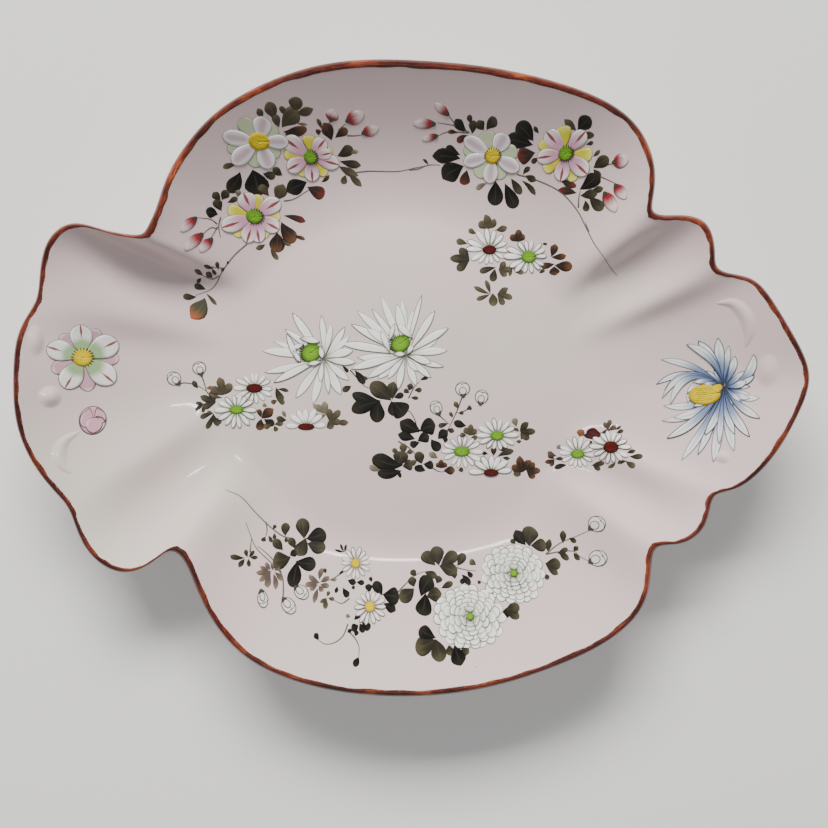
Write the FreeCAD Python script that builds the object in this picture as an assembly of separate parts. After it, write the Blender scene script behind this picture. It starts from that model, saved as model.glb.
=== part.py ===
import FreeCAD, Part
import math
import os

from FreeCAD import Vector

# China serving platter, millimetres. +X runs along the long axis, +Z points
# out of the dish, and the origin lies under the middle of the platter on the
# plane that the foot ring stands on.

# ---- driving dimensions -------------------------------------------------
FOOT_HEIGHT = 7.0          # foot ring, ground to underside
FLOOR_WALL = 5.0           # porcelain thickness under the well
LIP_WALL = 4.0             # porcelain thickness at the lip
FLOOR_Z = FOOT_HEIGHT + FLOOR_WALL
WELL_A = 74.0              # half length of the flat well
WELL_B = 68.0              # half width of the flat well
WELL_X = -5.0              # middle of the well
WELL_Y = 2.0
RISE_POWER = 1.7           # how late the flange curls up
FAN_PASSES = 4             # evening out of the columns' spacing at the well
FOOT_INSET = 9.0           # foot ring's outer edge inside the well's edge
FOOT_WIDTH = 6.0           # foot ring's width where it joins the body
FOOT_TAPER = 1.2           # each side of the ring leans in by this much
ENAMEL = 0.35              # thickness of raised enamel
BAND_RISE = 0.3            # thickness of the coloured lip band
BAND_EDGE = -0.1           # where the band's hose slips under the glaze
BAND_DIVE = -0.8           # how deep the hose runs past that edge
BAND_CORE = -1.2           # how far the hose's inner side is from the skin
LEAF_SLIMNESS = 0.27       # half width of a leaf over its length
BUD_SHAPE = 0.8            # width of a bud over its length
STEM_WIDTH = 1.0           # painted stems
HAIRLINE = 0.2             # gap left between neighbouring enamels
CRUMB = 0.2                # smallest enamel solid kept, cubic millimetres
CRUMB_AREA = 1.5           # smallest enamel outline kept
PRISM_HEIGHT = 60.0        # taller than the platter
BOSS_HEIGHT = 1.6          # moulded bosses above the glaze
CURL_RADIUS = 2.4          # moulded curled ridges
CURL_SINK = 1.2            # how far a ridge's centre line is under the glaze
LEVEL = 0.01               # an edge this flat is a level ring
REPAIR = 0.001             # tolerance used when faces are turned outwards

# The lip seen from above, clockwise: x, y, height of the lip's middle, and
# how far the wall below that point is folded up (+) or scooped down (-).
NORTH_FLANGE = [
    (-113, 63, 34, 3), (-109, 66, 34, 3), (-104, 75, 35, 1), (-99, 88, 36, 0),
    (-88, 103, 37, 0), (-73, 116, 38, 0), (-49, 127, 38, 0),
    (-25, 132, 38, 0), (1, 132, 38, 0), (27, 130, 38, 0),
    (53, 125, 38, 0), (77, 117, 37, 0), (92, 106, 36, 0),
    (99, 91, 35, 0), (99, 79, 34, 1),
]
NORTH_EAST_LOBE = [
    (99, 73, 33, 3), (104, 71, 33, 3), (112, 71, 34, -1),
    (121, 68, 35, -2), (125, 58, 34, -1),
]
EAST_EAR = [
    (126, 50, 33, 2), (133, 47, 33, 2), (143, 44, 35, 0),
    (152, 31, 37, -1), (161, 16, 38, -1), (165, 3, 38, -1),
    (160, -12, 38, -1), (152, -28, 37, -1), (140, -42, 34, 0),
]
SOUTH_EAST_LOBE = [
    (130, -45, 32, 2), (127, -51, 32, 2), (124, -60, 34, -1),
    (115, -67, 34, -1),
]
SOUTH_FLANGE = [
    (104, -68, 33, 3), (102, -78, 34, 2), (99, -94, 35, 0), (85, -108, 36, 0),
    (65, -118, 37, 0), (39, -127, 38, 0), (11, -132, 38, 0),
    (-18, -132, 38, 0), (-44, -128, 37, 0), (-67, -119, 36, 0),
    (-82, -105, 35, 0), (-91, -89, 34, 0), (-97, -74, 33, 2),
]
SOUTH_WEST_LOBE = [
    (-104, -70, 33, 3), (-111, -75, 34, 2), (-121, -79, 35, -1),
    (-131, -76, 35, -2), (-140, -67, 34, -1), (-145, -53, 33, 2),
]
WEST_EAR = [
    (-150, -46, 33, 2), (-159, -33, 35, 0), (-165, -15, 37, -1),
    (-165, 4, 38, -1), (-163, 23, 37, -1), (-156, 35, 34, 2),
]
NORTH_WEST_LOBE = [
    (-154, 45, 34, 2), (-150, 60, 36, -1), (-139, 68, 37, -2),
    (-127, 65, 35, -1),
]
# Each span of the lip starts at a notch. The number is the bearing, in
# degrees, of the place on the well's edge that the notch looks down on.
SPANS = [
    (NORTH_FLANGE, 150.0),
    (NORTH_EAST_LOBE + EAST_EAR + SOUTH_EAST_LOBE, 31.0),
    (SOUTH_FLANGE, -31.0),
    (SOUTH_WEST_LOBE + WEST_EAR + NORTH_WEST_LOBE, -152.0),
]
RIM = [row for rows, bearing in SPANS for row in rows]

# Petals in one flower, and how deep the gaps between them run.
PETAL_STYLE = {
    "open": (5, 0.74), "streaked": (8, 0.8), "daisy": (13, 0.62),
    "half_daisy": (13, 0.62), "spider": (16, 0.6), "rosette": (14, 0.88),
    "swirl": (17, 0.66),
}

# Flowers: kind, middle x, y, petal radius, half length and half width of
# the heart. Buds: x, y, half length. Leaves: x, y, length, bearing.
SPRAYS = {
    "north_west": {
        "flowers": [("open", -63, 101, 13.5, 3.2, 2.7),
                    ("streaked", -43, 96, 12.0, 2.4, 2.2),
                    ("streaked", -68, 72, 12.5, 2.4, 2.2)],
        "buds": [(-33, 112, 3), (-23, 111, 3.5), (-17, 107, 2.5),
                 (-93, 68, 3), (-91, 61, 3), (-87, 58, 2.5)],
        "leaves": [(-58, 115, 6, 70), (-47, 116, 7, 100),
                   (-48, 109, 7, 110), (-31, 104, 6, 50),
                   (-29, 99, 6, 10), (-28, 94, 6, -10),
                   (-74, 87, 8, 120), (-67, 88, 9, -110),
                   (-56, 82, 7, 40), (-49, 83, 7, -110),
                   (-41, 83, 7, -80), (-82, 80, 6, 150),
                   (-53, 66, 8, -20), (-58, 60, 7, -50),
                   (-86, 50, 5, -130), (-93, 33, 7, -120)],
        "stems": [[(-71, 60), (-75, 56), (-79, 51), (-85, 45), (-90, 38)],
                  [(-21, 90), (-9, 90), (2, 92), (8, 93)]],
    },
    "north_east": {
        "flowers": [("open", 34, 96, 13.0, 2.8, 2.5),
                    ("streaked", 64, 97, 12.0, 2.7, 2.7)],
        "buds": [(12, 114, 3), (5, 109, 3.5), (8, 104, 3),
                 (86, 93, 3.5), (86, 82, 3), (83, 77, 3.5)],
        "leaves": [(20, 108, 6, 140), (27, 110, 6, 110), (46, 104, 9, 30),
                   (48, 96, 7, 0), (14, 97, 8, 180), (16, 92, 8, -170),
                   (35, 81, 8, -90), (41, 81, 8, -70), (71, 108, 7, 60),
                   (78, 93, 6, -20), (74, 86, 7, -50), (65, 82, 6, -90),
                   (71, 79, 7, -70), (78, 79, 6, -50)],
        "stems": [[(53, 86), (62, 82), (69, 76), (74, 67), (78, 58),
                   (88, 47)]],
    },
    "well_north": {
        "flowers": [("daisy", 33, 57, 9.0, 2.8, 1.9),
                    ("daisy", 50, 54, 9.0, 2.6, 2.1)],
        "buds": [],
        "leaves": [(32, 69, 7, 90), (46, 65, 7, 110), (21, 55, 7, -170),
                   (62, 58, 7, 10), (65, 51, 7, -10), (37, 47, 6, -80),
                   (34, 38, 7, -10)],
        "stems": [],
    },
    "well_middle": {
        "flowers": [("spider", -41, 11, 21.0, 4.0, 3.6),
                    ("spider", -4, 14, 22.0, 4.0, 3.6)],
        "buds": [], "leaves": [], "stems": [],
    },
    "well_west": {
        "flowers": [("daisy", -69, -2, 9.0, 3.3, 1.9),
                    ("daisy", -77, -12, 9.0, 2.6, 1.7),
                    ("half_daisy", -47, -22, 9.0, 3.3, 2.2)],
        "buds": [(-104, 2, 3), (-92, 6, 3)],
        "leaves": [(-84, -2, 7, 120), (-90, -8, 7, 160),
                   (-89, -18, 7, -160), (-65, -16, 7, -20),
                   (-58, -5, 6, -10), (-36, -14, 6, 30)],
        "stems": [],
    },
    "well_south": {
        "flowers": [("daisy", 37, -24, 9.0, 2.2, 1.7),
                    ("daisy", 22, -31, 9.0, 3.0, 2.2),
                    ("half_daisy", 35, -42, 9.5, 3.0, 2.4)],
        "buds": [(22, -3, 3.5), (30, -6, 3.5), (11, -11, 3.5)],
        "leaves": [(-20, -6, 9, 150), (-14, -11, 9, 70), (-9, -3, 9, 140),
                   (-5, -10, 9, 140), (1, -18, 9, 150), (7, -21, 8, 140),
                   (-2, -25, 8, 170), (-7, -36, 10, -170),
                   (5, -34, 8, -170), (14, -38, 7, -140), (50, -19, 7, 20),
                   (49, -37, 7, 10)],
        "stems": [],
    },
    "well_east": {
        "flowers": [("daisy", 73, -32, 8.5, 2.0, 1.5),
                    ("daisy", 87, -28, 8.5, 2.8, 2.2)],
        "buds": [],
        "leaves": [(80, -20, 8, 130), (87, -17, 6, 90), (63, -29, 6, 160),
                   (61, -35, 7, -170), (81, -38, 6, -30),
                   (95, -33, 6, -30)],
        "stems": [],
    },
    "south_west": {
        "flowers": [("daisy", -24, -81, 7.5, 2.0, 2.2),
                    ("daisy", -18, -98, 7.5, 2.2, 2.0)],
        "buds": [(-65, -94, 3.5), (-53, -97, 3.5)],
        "leaves": [(-49, -65, 9, 150), (-42, -70, 9, 170),
                   (-50, -74, 8, 160), (-59, -72, 6, 170),
                   (-57, -78, 8, 170), (-48, -80, 8, 180),
                   (-52, -86, 8, -100), (-73, -76, 6, 170),
                   (-62, -85, 7, -170), (-41, -88, 7, -160),
                   (-14, -90, 7, 60), (-8, -94, 7, 30),
                   (-23, -107, 6, -130), (-23, -119, 5, -100)],
        "stems": [[(-82, -47), (-76, -50), (-72, -53), (-67, -58),
                   (-64, -62)],
                  [(-28, -106), (-31, -110), (-37, -112), (-41, -110)]],
    },
    "south_east": {
        "flowers": [("rosette", 45, -84, 13.8, 2.0, 1.8),
                    ("rosette", 26, -102, 14.8, 2.2, 2.0)],
        "buds": [(81, -61, 3.5), (81, -77, 3.5)],
        "leaves": [(48, -69, 7, 80), (55, -70, 8, 60), (63, -79, 7, 20),
                   (44, -101, 6, -100), (6, -80, 7, 130), (12, -77, 9, 120),
                   (18, -81, 7, 110), (5, -89, 9, 150), (0, -96, 8, 170),
                   (-9, -93, 7, 170), (6, -110, 8, -150),
                   (12, -117, 7, -130), (21, -117, 6, -110)],
        "stems": [[(60, -74), (67, -69), (78, -64)]],
    },
    "west_ear": {
        "flowers": [("open", -139, 12, 14.5, 3.2, 3.0)],
        "buds": [(-136, -15, 5.5)],
        "leaves": [], "stems": [],
    },
    "east_ear": {
        "flowers": [("swirl", 127, -2, 20.0, 6.0, 4.0)],
        "buds": [], "leaves": [], "stems": [],
    },
}

# Moulded bosses: x, y and half sizes. Curls: paths of low round ridges.
BOSSES = {
    "west_leaf_boss": (-153, 22, 3.5, 6.5),
    "west_bud_boss": (-154, -2, 3.5, 4.0),
    "east_bud_boss": (150, 8, 3.0, 4.0),
    "east_small_boss": (133, -31, 3.0, 2.5),
}
CURLS = {
    "west_stem_curl": [(-141, -19), (-147, -23), (-149, -28), (-148, -33),
                       (-144, -37)],
    "east_scroll_curl": [(127, 35), (134, 35), (139, 30), (141, 23),
                         (140, 16)],
}

# Stations up one column of the wall, from the well's edge to the lip.
STATIONS = [0.0, 0.10, 0.28, 0.48, 0.68, 0.86, 0.97]
# Poles of the round lip: side of the wall, and reach past it in half walls.
LIP_POLES = [(1, 0.1), (1, 1.0), (-1, 1.0), (-1, 0.1)]


# ---- the body's surface law ---------------------------------------------
def sharpened(points):
    """Push each point out so that the smooth curve passes close to it."""
    count = len(points)
    result = []
    for i in range(count):
        before = points[i - 1]
        here = points[i]
        after = points[(i + 1) % count]
        result.append([h + (2 * h - b - a) / 6.0
                       for h, b, a in zip(here, before, after)])
    return result


def well_angles():
    """Angle on the well's edge where each column of the wall starts.

    Columns are spread evenly between the notches' bearings, so they fan out
    behind every lobe instead of bunching up at the notches.
    """
    angles = []
    turn = 2 * math.pi
    for i, (rows, bearing) in enumerate(SPANS):
        if i + 1 < len(SPANS):
            following = SPANS[i + 1][1]
        else:
            following = SPANS[0][1] - 360.0
        step = (following - bearing) / len(rows)
        for k in range(len(rows)):
            angles.append(math.radians(bearing + step * k))
    for _ in range(FAN_PASSES):
        before = [angles[-1] + turn] + angles[:-1]
        after = angles[1:] + [angles[0] - turn]
        angles = [(b + 2 * a + c) / 4.0
                  for b, a, c in zip(before, angles, after)]
    return angles


def rise(station):
    """Share of the lip's height that the wall has reached at a station."""
    start = STATIONS[1]
    if station <= start:
        return 0.0
    return ((station - start) / (1.0 - start)) ** RISE_POWER


def rise_slope(station):
    start = STATIONS[1]
    if station <= start:
        return 0.0
    share = (station - start) / (1.0 - start)
    return RISE_POWER * share ** (RISE_POWER - 1.0) / (1.0 - start)


def fold_share(station):
    """Folds are strongest at two thirds of the way out and die at both ends."""
    if station <= STATIONS[1]:
        return 0.0
    return math.sin(math.pi * min(1.0, station) ** 1.5)


def column(rim_row, angle, growth=0.0):
    """Poles of one column: inside wall, round lip, outside wall.

    growth swells the wall and lip, which is how the lip's band is made.
    """
    x, y, height, fold = rim_row
    well_x = WELL_X + WELL_A * math.cos(angle)
    well_y = WELL_Y + WELL_B * math.sin(angle)
    reach = math.hypot(x - well_x, y - well_y)
    out_x = (x - well_x) / reach
    out_y = (y - well_y) / reach
    half = LIP_WALL / 2.0
    run = reach - half
    climb = height - FLOOR_Z

    def place(r, z):
        return Vector(well_x + out_x * r, well_y + out_y * r, z)

    inside = []
    outside = []
    for station in STATIONS:
        r = run * station
        middle = FLOOR_Z + climb * rise(station) + fold * fold_share(station)
        slope = math.atan(climb * rise_slope(station) / run)
        wall = FLOOR_WALL + (LIP_WALL - FLOOR_WALL) * station
        up_r = -math.sin(slope)
        up_z = math.cos(slope)
        # the inside skin keeps to the law at the well, and at the lip the
        # law runs through the middle of the wall
        lift = half * rise(station) ** 0.5
        above = lift + growth
        below = wall - lift + growth
        inside.append(place(r + up_r * above, middle + up_z * above))
        outside.append(place(r - up_r * below, middle - up_z * below))
    slope = math.atan(climb * rise_slope(1.0) / run)
    along_r = math.cos(slope)
    along_z = math.sin(slope)
    thick = half + growth
    lip = []
    for side, ahead in LIP_POLES:
        lip.append(place(run + thick * (along_r * ahead - along_z * side),
                         height + thick * (along_z * ahead + along_r * side)))
    return inside, lip, outside


def surface(columns, around_v=False):
    """Cubic surface over a ring of columns, closed round the platter.

    around_v closes it along the columns too, which makes a hose.
    """
    count = len(columns)
    rows = len(columns[0])
    face = Part.BSplineSurface()
    u_knots = [float(i) for i in range(count + 1)]
    if around_v:
        v_mults = [1] * (rows + 1)
        v_knots = [float(i) for i in range(rows + 1)]
    else:
        spans = rows - 3
        v_mults = [4] + [1] * (spans - 1) + [4]
        v_knots = [float(i) for i in range(spans + 1)]
    face.buildFromPolesMultsKnots(
        columns, [1] * (count + 1), v_mults, u_knots, v_knots,
        True, around_v, 3, 3)
    return face


def closed_solid(faces):
    """Solid inside a closed set of faces, with every face turned outwards."""
    solid = Part.Solid(Part.Shell(faces))
    solid.fix(REPAIR, REPAIR, REPAIR)
    if solid.Volume < 0:
        solid.reverse()
    return solid


def build_body(rim_rows, angles):
    columns = []
    for rim_row, angle in zip(rim_rows, angles):
        inside, lip, outside = column(rim_row, angle)
        columns.append(inside + lip + outside[::-1])
    side = surface(columns).toShape()
    rings = [edge for edge in side.Edges
             if edge.BoundBox.ZLength < LEVEL]
    faces = [side] + [Part.Face(Part.Wire([ring])) for ring in rings]
    return closed_solid(faces)


def build_band(rim_rows, angles, body):
    """Iron-red enamel: a thin sleeve over the lip.

    The sleeve is a closed hose. It stands proud of the body round the lip
    and dives under the glaze further in, and the body is cut away from it.
    """
    columns = []
    for rim_row, angle in zip(rim_rows, angles):
        proud_lip = column(rim_row, angle, BAND_RISE)[1]
        edge_in, _, edge_out = column(rim_row, angle, BAND_EDGE)
        sunk_in, _, sunk_out = column(rim_row, angle, BAND_DIVE)
        core_in, _, core_out = column(rim_row, angle, BAND_CORE)
        columns.append(
            [sunk_in[-2], edge_in[-1]] + proud_lip
            + [edge_out[-1], sunk_out[-2], core_out[-1], core_in[-1]])
    hose = closed_solid([surface(columns, True).toShape()])
    return hose.cut(body)


def ellipse_wire(a, b, z):
    curve = Part.Ellipse(Vector(WELL_X, WELL_Y, z), a, b)
    return Part.Wire([curve.toShape()])


def build_foot_ring():
    a = WELL_A - FOOT_INSET
    b = WELL_B - FOOT_INSET
    outer = Part.makeLoft([
        ellipse_wire(a - FOOT_TAPER, b - FOOT_TAPER, 0.0),
        ellipse_wire(a, b, FOOT_HEIGHT)], True)
    inner = Part.makeLoft([
        ellipse_wire(a - FOOT_WIDTH + FOOT_TAPER,
                     b - FOOT_WIDTH + FOOT_TAPER, 0.0),
        ellipse_wire(a - FOOT_WIDTH, b - FOOT_WIDTH, FOOT_HEIGHT)], True)
    return outer.cut(inner)


# ---- raised enamel --------------------------------------------------------
def flat_face(curve):
    return Part.Face(Part.Wire([curve.toShape()]))


def lobed(x, y, radius, lobes, dip, grow=0.0):
    """Rounded star: one lobe a petal, dipping to a share of the radius."""
    points = []
    for k in range(2 * lobes):
        bearing = math.pi * k / lobes + math.pi / 2
        reach = radius if k % 2 == 0 else radius * dip
        reach += grow
        points.append(Vector(x + reach * math.cos(bearing),
                             y + reach * math.sin(bearing), 0))
    curve = Part.BSplineCurve()
    curve.buildFromPoles(points, True, 3)
    return flat_face(curve)


def oval(x, y, half_x, half_y, grow=0.0):
    long_side = max(half_x, half_y) + grow
    short_side = min(half_x, half_y) + grow
    curve = Part.Ellipse(Vector(0, 0, 0), long_side, short_side)
    face = flat_face(curve)
    if half_y > half_x:
        face.rotate(Vector(0, 0, 0), Vector(0, 0, 1), 90)
    face.translate(Vector(x, y, 0))
    return face


def leaf(x, y, length, bearing, grow=0.0):
    """Pointed leaf: two arcs meeting at both tips."""
    half = length / 2.0 + grow
    belly = LEAF_SLIMNESS * length + grow
    tips = (Vector(-half, 0, 0), Vector(half, 0, 0))
    upper = Part.Arc(tips[0], Vector(0, belly, 0), tips[1])
    lower = Part.Arc(tips[1], Vector(0, -belly, 0), tips[0])
    face = Part.Face(Part.Wire([upper.toShape(), lower.toShape()]))
    face.rotate(Vector(0, 0, 0), Vector(0, 0, 1), bearing)
    face.translate(Vector(x, y, 0))
    return face


def strip(path, width):
    """Band of even width along a smooth path."""
    left = []
    right = []
    for i, (x, y) in enumerate(path):
        x0, y0 = path[max(0, i - 1)]
        x1, y1 = path[min(len(path) - 1, i + 1)]
        length = math.hypot(x1 - x0, y1 - y0)
        side_x = -(y1 - y0) / length * width / 2.0
        side_y = (x1 - x0) / length * width / 2.0
        left.append(Vector(x + side_x, y + side_y, 0))
        right.append(Vector(x - side_x, y - side_y, 0))
    one = Part.BSplineCurve()
    one.interpolate(left)
    two = Part.BSplineCurve()
    two.interpolate(right[::-1])
    edges = [one.toShape(), Part.makeLine(left[-1], right[-1]),
             two.toShape(), Part.makeLine(right[0], left[0])]
    return Part.Face(Part.Wire(edges))


def upper_half(face, x, y, radius):
    """The part of a flower that lies above its middle."""
    return face.common(Part.makePlane(4 * radius, 2 * radius,
                                      Vector(x - 2 * radius, y, 0)))


def petals_outline(kind, x, y, radius, grow=0.0):
    lobes, dip = PETAL_STYLE[kind]
    face = lobed(x, y, radius, lobes, dip, grow)
    if kind == "half_daisy":
        face = upper_half(face, x, y, radius)
    return face


def enamel(faces, raised, body):
    """Lay flat outlines on the glaze as a thin raised layer."""
    solids = []
    for face in faces:
        prism = face.extrude(Vector(0, 0, PRISM_HEIGHT))
        layer = raised.common(prism).cut(body)
        solids += [piece for piece in layer.Solids
                   if piece.Volume > CRUMB]
    return Part.Compound(solids)


def without(face, others):
    for other in others:
        if face.BoundBox.intersect(other.BoundBox):
            face = face.cut(other)
    return [part for part in face.Faces if part.Area > CRUMB_AREA]


def build_spray(name, spray, raised, body):
    """Petals first, then buds, leaves and stems; each gives way to those
    laid before it, with a hairline left between."""
    taken = []
    nodes = {}
    for kind, x, y, radius, heart_x, heart_y in spray["flowers"]:
        whole = petals_outline(kind, x, y, radius)
        heart = oval(x, y, heart_x, heart_y)
        if kind == "half_daisy":
            heart = upper_half(heart, x, y, radius)
        ring = whole.cut(oval(x, y, heart_x, heart_y, HAIRLINE))
        for part in ring.Faces:
            nodes.setdefault(kind + "_petals", []).extend(
                without(part, taken))
        for part in heart.Faces:
            nodes.setdefault(kind + "_hearts", []).extend(
                without(part, taken))
        taken.append(petals_outline(kind, x, y, radius, HAIRLINE))
    for x, y, size in spray["buds"]:
        bud = oval(x, y, size, size * BUD_SHAPE)
        nodes.setdefault("buds", []).extend(without(bud, taken))
        taken.append(oval(x, y, size, size * BUD_SHAPE, HAIRLINE))
    for x, y, length, bearing in spray["leaves"]:
        blade = leaf(x, y, length, bearing)
        nodes.setdefault("leaves", []).extend(without(blade, taken))
        taken.append(leaf(x, y, length, bearing, HAIRLINE))
    for path in spray["stems"]:
        for part in without(strip(path, STEM_WIDTH), taken):
            nodes.setdefault("stems", []).append(part)
    for kind, faces in nodes.items():
        save(enamel(faces, raised, body), name + "_" + kind)


# ---- moulded relief on the ears -------------------------------------------
def surface_height(x, y, body):
    upright = Part.makeLine(Vector(x, y, 0.0), Vector(x, y, PRISM_HEIGHT))
    return upright.common(body).BoundBox.ZMax


def relief_boss(x, y, half_x, half_y, body):
    """Low rounded boss standing out of the glaze."""
    boss = Part.makeSphere(1.0)
    stretch = FreeCAD.Matrix()
    stretch.scale(half_x, half_y, BOSS_HEIGHT)
    boss = boss.transformGeometry(stretch)
    boss.translate(Vector(x, y, surface_height(x, y, body)))
    return boss.cut(body)


def relief_curl(path, body):
    """Low round ridge along a curled path, its centre line under the glaze."""
    points = [Vector(x, y, surface_height(x, y, body) - CURL_SINK)
              for x, y in path]
    curve = Part.BSplineCurve()
    curve.interpolate(points)
    start = curve.tangent(curve.FirstParameter)[0]
    circle = Part.Circle(points[0], start, CURL_RADIUS)
    spine = Part.Wire([curve.toShape()])
    tube = spine.makePipeShell([Part.Wire([circle.toShape()])], True, True)
    return tube.cut(body)


def save(shape, name):
    shape.exportStep("parts/" + name + ".step")
    box = shape.BoundBox
    print(name, len(shape.Solids), "solids, volume",
          round(shape.Volume, 2), "valid", shape.isValid(),
          [round(v, 2) for v in (box.XMin, box.XMax, box.YMin,
                                 box.YMax, box.ZMin, box.ZMax)])


os.makedirs("parts", exist_ok=True)
rim_rows = sharpened(RIM)
angles = well_angles()
body = build_body(rim_rows, angles)
save(body, "platter_body")
save(build_foot_ring(), "foot_ring")
save(build_band(rim_rows, angles, body), "rim_band")
raised = body.translated(Vector(0, 0, ENAMEL))
for spray_name, spray in SPRAYS.items():
    build_spray(spray_name, spray, raised, body)
for boss_name, (x, y, half_x, half_y) in BOSSES.items():
    save(relief_boss(x, y, half_x, half_y, body), boss_name)
for curl_name, path in CURLS.items():
    save(relief_curl(path, body), curl_name)
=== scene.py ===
import math
import random

import bpy
import numpy as np
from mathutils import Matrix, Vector
from mathutils.bvhtree import BVHTree


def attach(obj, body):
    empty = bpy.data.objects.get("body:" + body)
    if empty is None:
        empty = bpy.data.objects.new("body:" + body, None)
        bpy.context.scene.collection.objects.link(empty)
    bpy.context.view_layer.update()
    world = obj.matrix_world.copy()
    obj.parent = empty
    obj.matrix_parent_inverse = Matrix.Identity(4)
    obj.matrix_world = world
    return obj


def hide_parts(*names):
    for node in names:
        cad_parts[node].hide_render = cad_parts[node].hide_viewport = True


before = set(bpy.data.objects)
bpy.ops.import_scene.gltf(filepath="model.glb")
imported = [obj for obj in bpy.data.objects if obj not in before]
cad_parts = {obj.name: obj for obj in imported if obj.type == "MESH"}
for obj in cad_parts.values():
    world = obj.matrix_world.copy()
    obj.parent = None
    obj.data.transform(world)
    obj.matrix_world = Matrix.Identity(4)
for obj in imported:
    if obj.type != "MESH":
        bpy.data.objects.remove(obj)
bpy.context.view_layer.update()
random.seed(7)
MM = 0.001

# ---- the platter's form, in millimetres --------------------------------
FOOT_HEIGHT = 7.0
FLOOR_WALL = 5.0
LIP_WALL = 4.0
FLOOR_Z = FOOT_HEIGHT + FLOOR_WALL
WELL_A, WELL_B = 74.0, 68.0
WELL_X, WELL_Y = -5.0, 2.0
RISE_POWER = 1.7
FAN_PASSES = 4
FOOT_INSET, FOOT_WIDTH, FOOT_TAPER = 9.0, 6.0, 1.2
BAND_RISE = 0.3
STATIONS = [0.0, 0.10, 0.28, 0.48, 0.68, 0.86, 0.97]

# The lip, clockwise from the north-west notch: x, y, height, fold. Each
# span starts at a notch, with the bearing it looks down on. Its x and y were
# converted by a separate program from points on the picture: see report.md.
SPANS = [
    (150.0, [
        (-113, 63, 34, 3), (-109, 66, 34, 3), (-104, 75, 35, 1),
        (-99, 88, 36, 0), (-88, 103, 37, 0), (-73, 116, 38, 0),
        (-49, 127, 38, 0), (-25, 132, 38, 0), (1, 132, 38, 0),
        (27, 130, 38, 0), (53, 125, 38, 0), (77, 117, 37, 0),
        (92, 106, 36, 0), (99, 91, 35, 0), (99, 79, 34, 1)]),
    (31.0, [
        (99, 73, 33, 3), (104, 71, 33, 3), (112, 71, 34, -1),
        (121, 68, 35, -2), (125, 58, 34, -1), (126, 50, 33, 2),
        (133, 47, 33, 2), (143, 44, 35, 0), (152, 31, 37, -1),
        (161, 16, 38, -1), (165, 3, 38, -1), (160, -12, 38, -1),
        (152, -28, 37, -1), (140, -42, 34, 0), (130, -45, 32, 2),
        (127, -51, 32, 2), (124, -60, 34, -1), (115, -67, 34, -1)]),
    (-31.0, [
        (104, -68, 33, 3), (102, -78, 34, 2), (99, -94, 35, 0),
        (85, -108, 36, 0), (65, -118, 37, 0), (39, -127, 38, 0),
        (11, -132, 38, 0), (-18, -132, 38, 0), (-44, -128, 37, 0),
        (-67, -119, 36, 0), (-82, -105, 35, 0), (-91, -89, 34, 0),
        (-97, -74, 33, 2)]),
    (-152.0, [
        (-104, -70, 33, 3), (-111, -75, 34, 2), (-121, -79, 35, -1),
        (-131, -76, 35, -2), (-140, -67, 34, -1), (-145, -53, 33, 2),
        (-150, -46, 33, 2), (-159, -33, 35, 0), (-165, -15, 37, -1),
        (-165, 4, 38, -1), (-163, 23, 37, -1), (-156, 35, 34, 2),
        (-154, 45, 34, 2), (-150, 60, 36, -1), (-139, 68, 37, -2),
        (-127, 65, 35, -1)]),
]


def well_angles():
    """Bearing on the well's edge under each row of the lip."""
    angles = []
    for i, (bearing, rows) in enumerate(SPANS):
        following = SPANS[(i + 1) % len(SPANS)][0]
        if i + 1 == len(SPANS):
            following -= 360.0
        for k in range(len(rows)):
            step = (following - bearing) / len(rows)
            angles.append(math.radians(bearing + step * k))
    angles = np.array(angles)
    turn = 2 * math.pi
    for _ in range(FAN_PASSES):
        before = np.roll(angles, 1)
        before[0] += turn
        after = np.roll(angles, -1)
        after[-1] -= turn
        angles = (before + 2 * angles + after) / 4.0
    return angles


def sharpened(points):
    """Points moved out so that a smooth curve passes near the originals."""
    before = np.roll(points, 1, axis=0)
    after = np.roll(points, -1, axis=0)
    return points + (2 * points - before - after) / 6.0


def rise(station):
    share = max(0.0, (station - STATIONS[1]) / (1.0 - STATIONS[1]))
    return share ** RISE_POWER


def rise_slope(station):
    share = max(0.0, (station - STATIONS[1]) / (1.0 - STATIONS[1]))
    if share == 0.0:
        return 0.0
    return RISE_POWER * share ** (RISE_POWER - 1) / (1.0 - STATIONS[1])


def fold_share(station):
    if station <= STATIONS[1]:
        return 0.0
    return math.sin(math.pi * min(1.0, station) ** 1.5)


def column(row, angle):
    """Points from the well up over the lip and back under the wall."""
    x, y, height, fold = row
    well = np.array([WELL_X + WELL_A * math.cos(angle),
                     WELL_Y + WELL_B * math.sin(angle)])
    reach = math.hypot(x - well[0], y - well[1])
    out = (np.array([x, y]) - well) / reach
    half = LIP_WALL / 2.0
    run = reach - half

    def place(r, z):
        return [well[0] + out[0] * r, well[1] + out[1] * r, z]

    inside, outside, lip = [], [], []
    for station in STATIONS:
        r = run * station
        middle = FLOOR_Z + (height - FLOOR_Z) * rise(station)
        middle += fold * fold_share(station)
        slope = math.atan((height - FLOOR_Z) * rise_slope(station) / run)
        wall = FLOOR_WALL + (LIP_WALL - FLOOR_WALL) * station
        up_r, up_z = -math.sin(slope), math.cos(slope)
        lift = half * rise(station) ** 0.5
        below = wall - lift
        inside.append(place(r + up_r * lift, middle + up_z * lift))
        outside.append(place(r - up_r * below, middle - up_z * below))
    slope = math.atan((height - FLOOR_Z) * rise_slope(1.0) / run)
    along_r, along_z = math.cos(slope), math.sin(slope)
    for side, ahead in ((1, 0.1), (1, 1.0), (-1, 1.0), (-1, 0.1)):
        lip.append(place(
            run + (-along_z * side + along_r * ahead) * half,
            height + (along_r * side + along_z * ahead) * half))
    return inside, lip, outside


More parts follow.
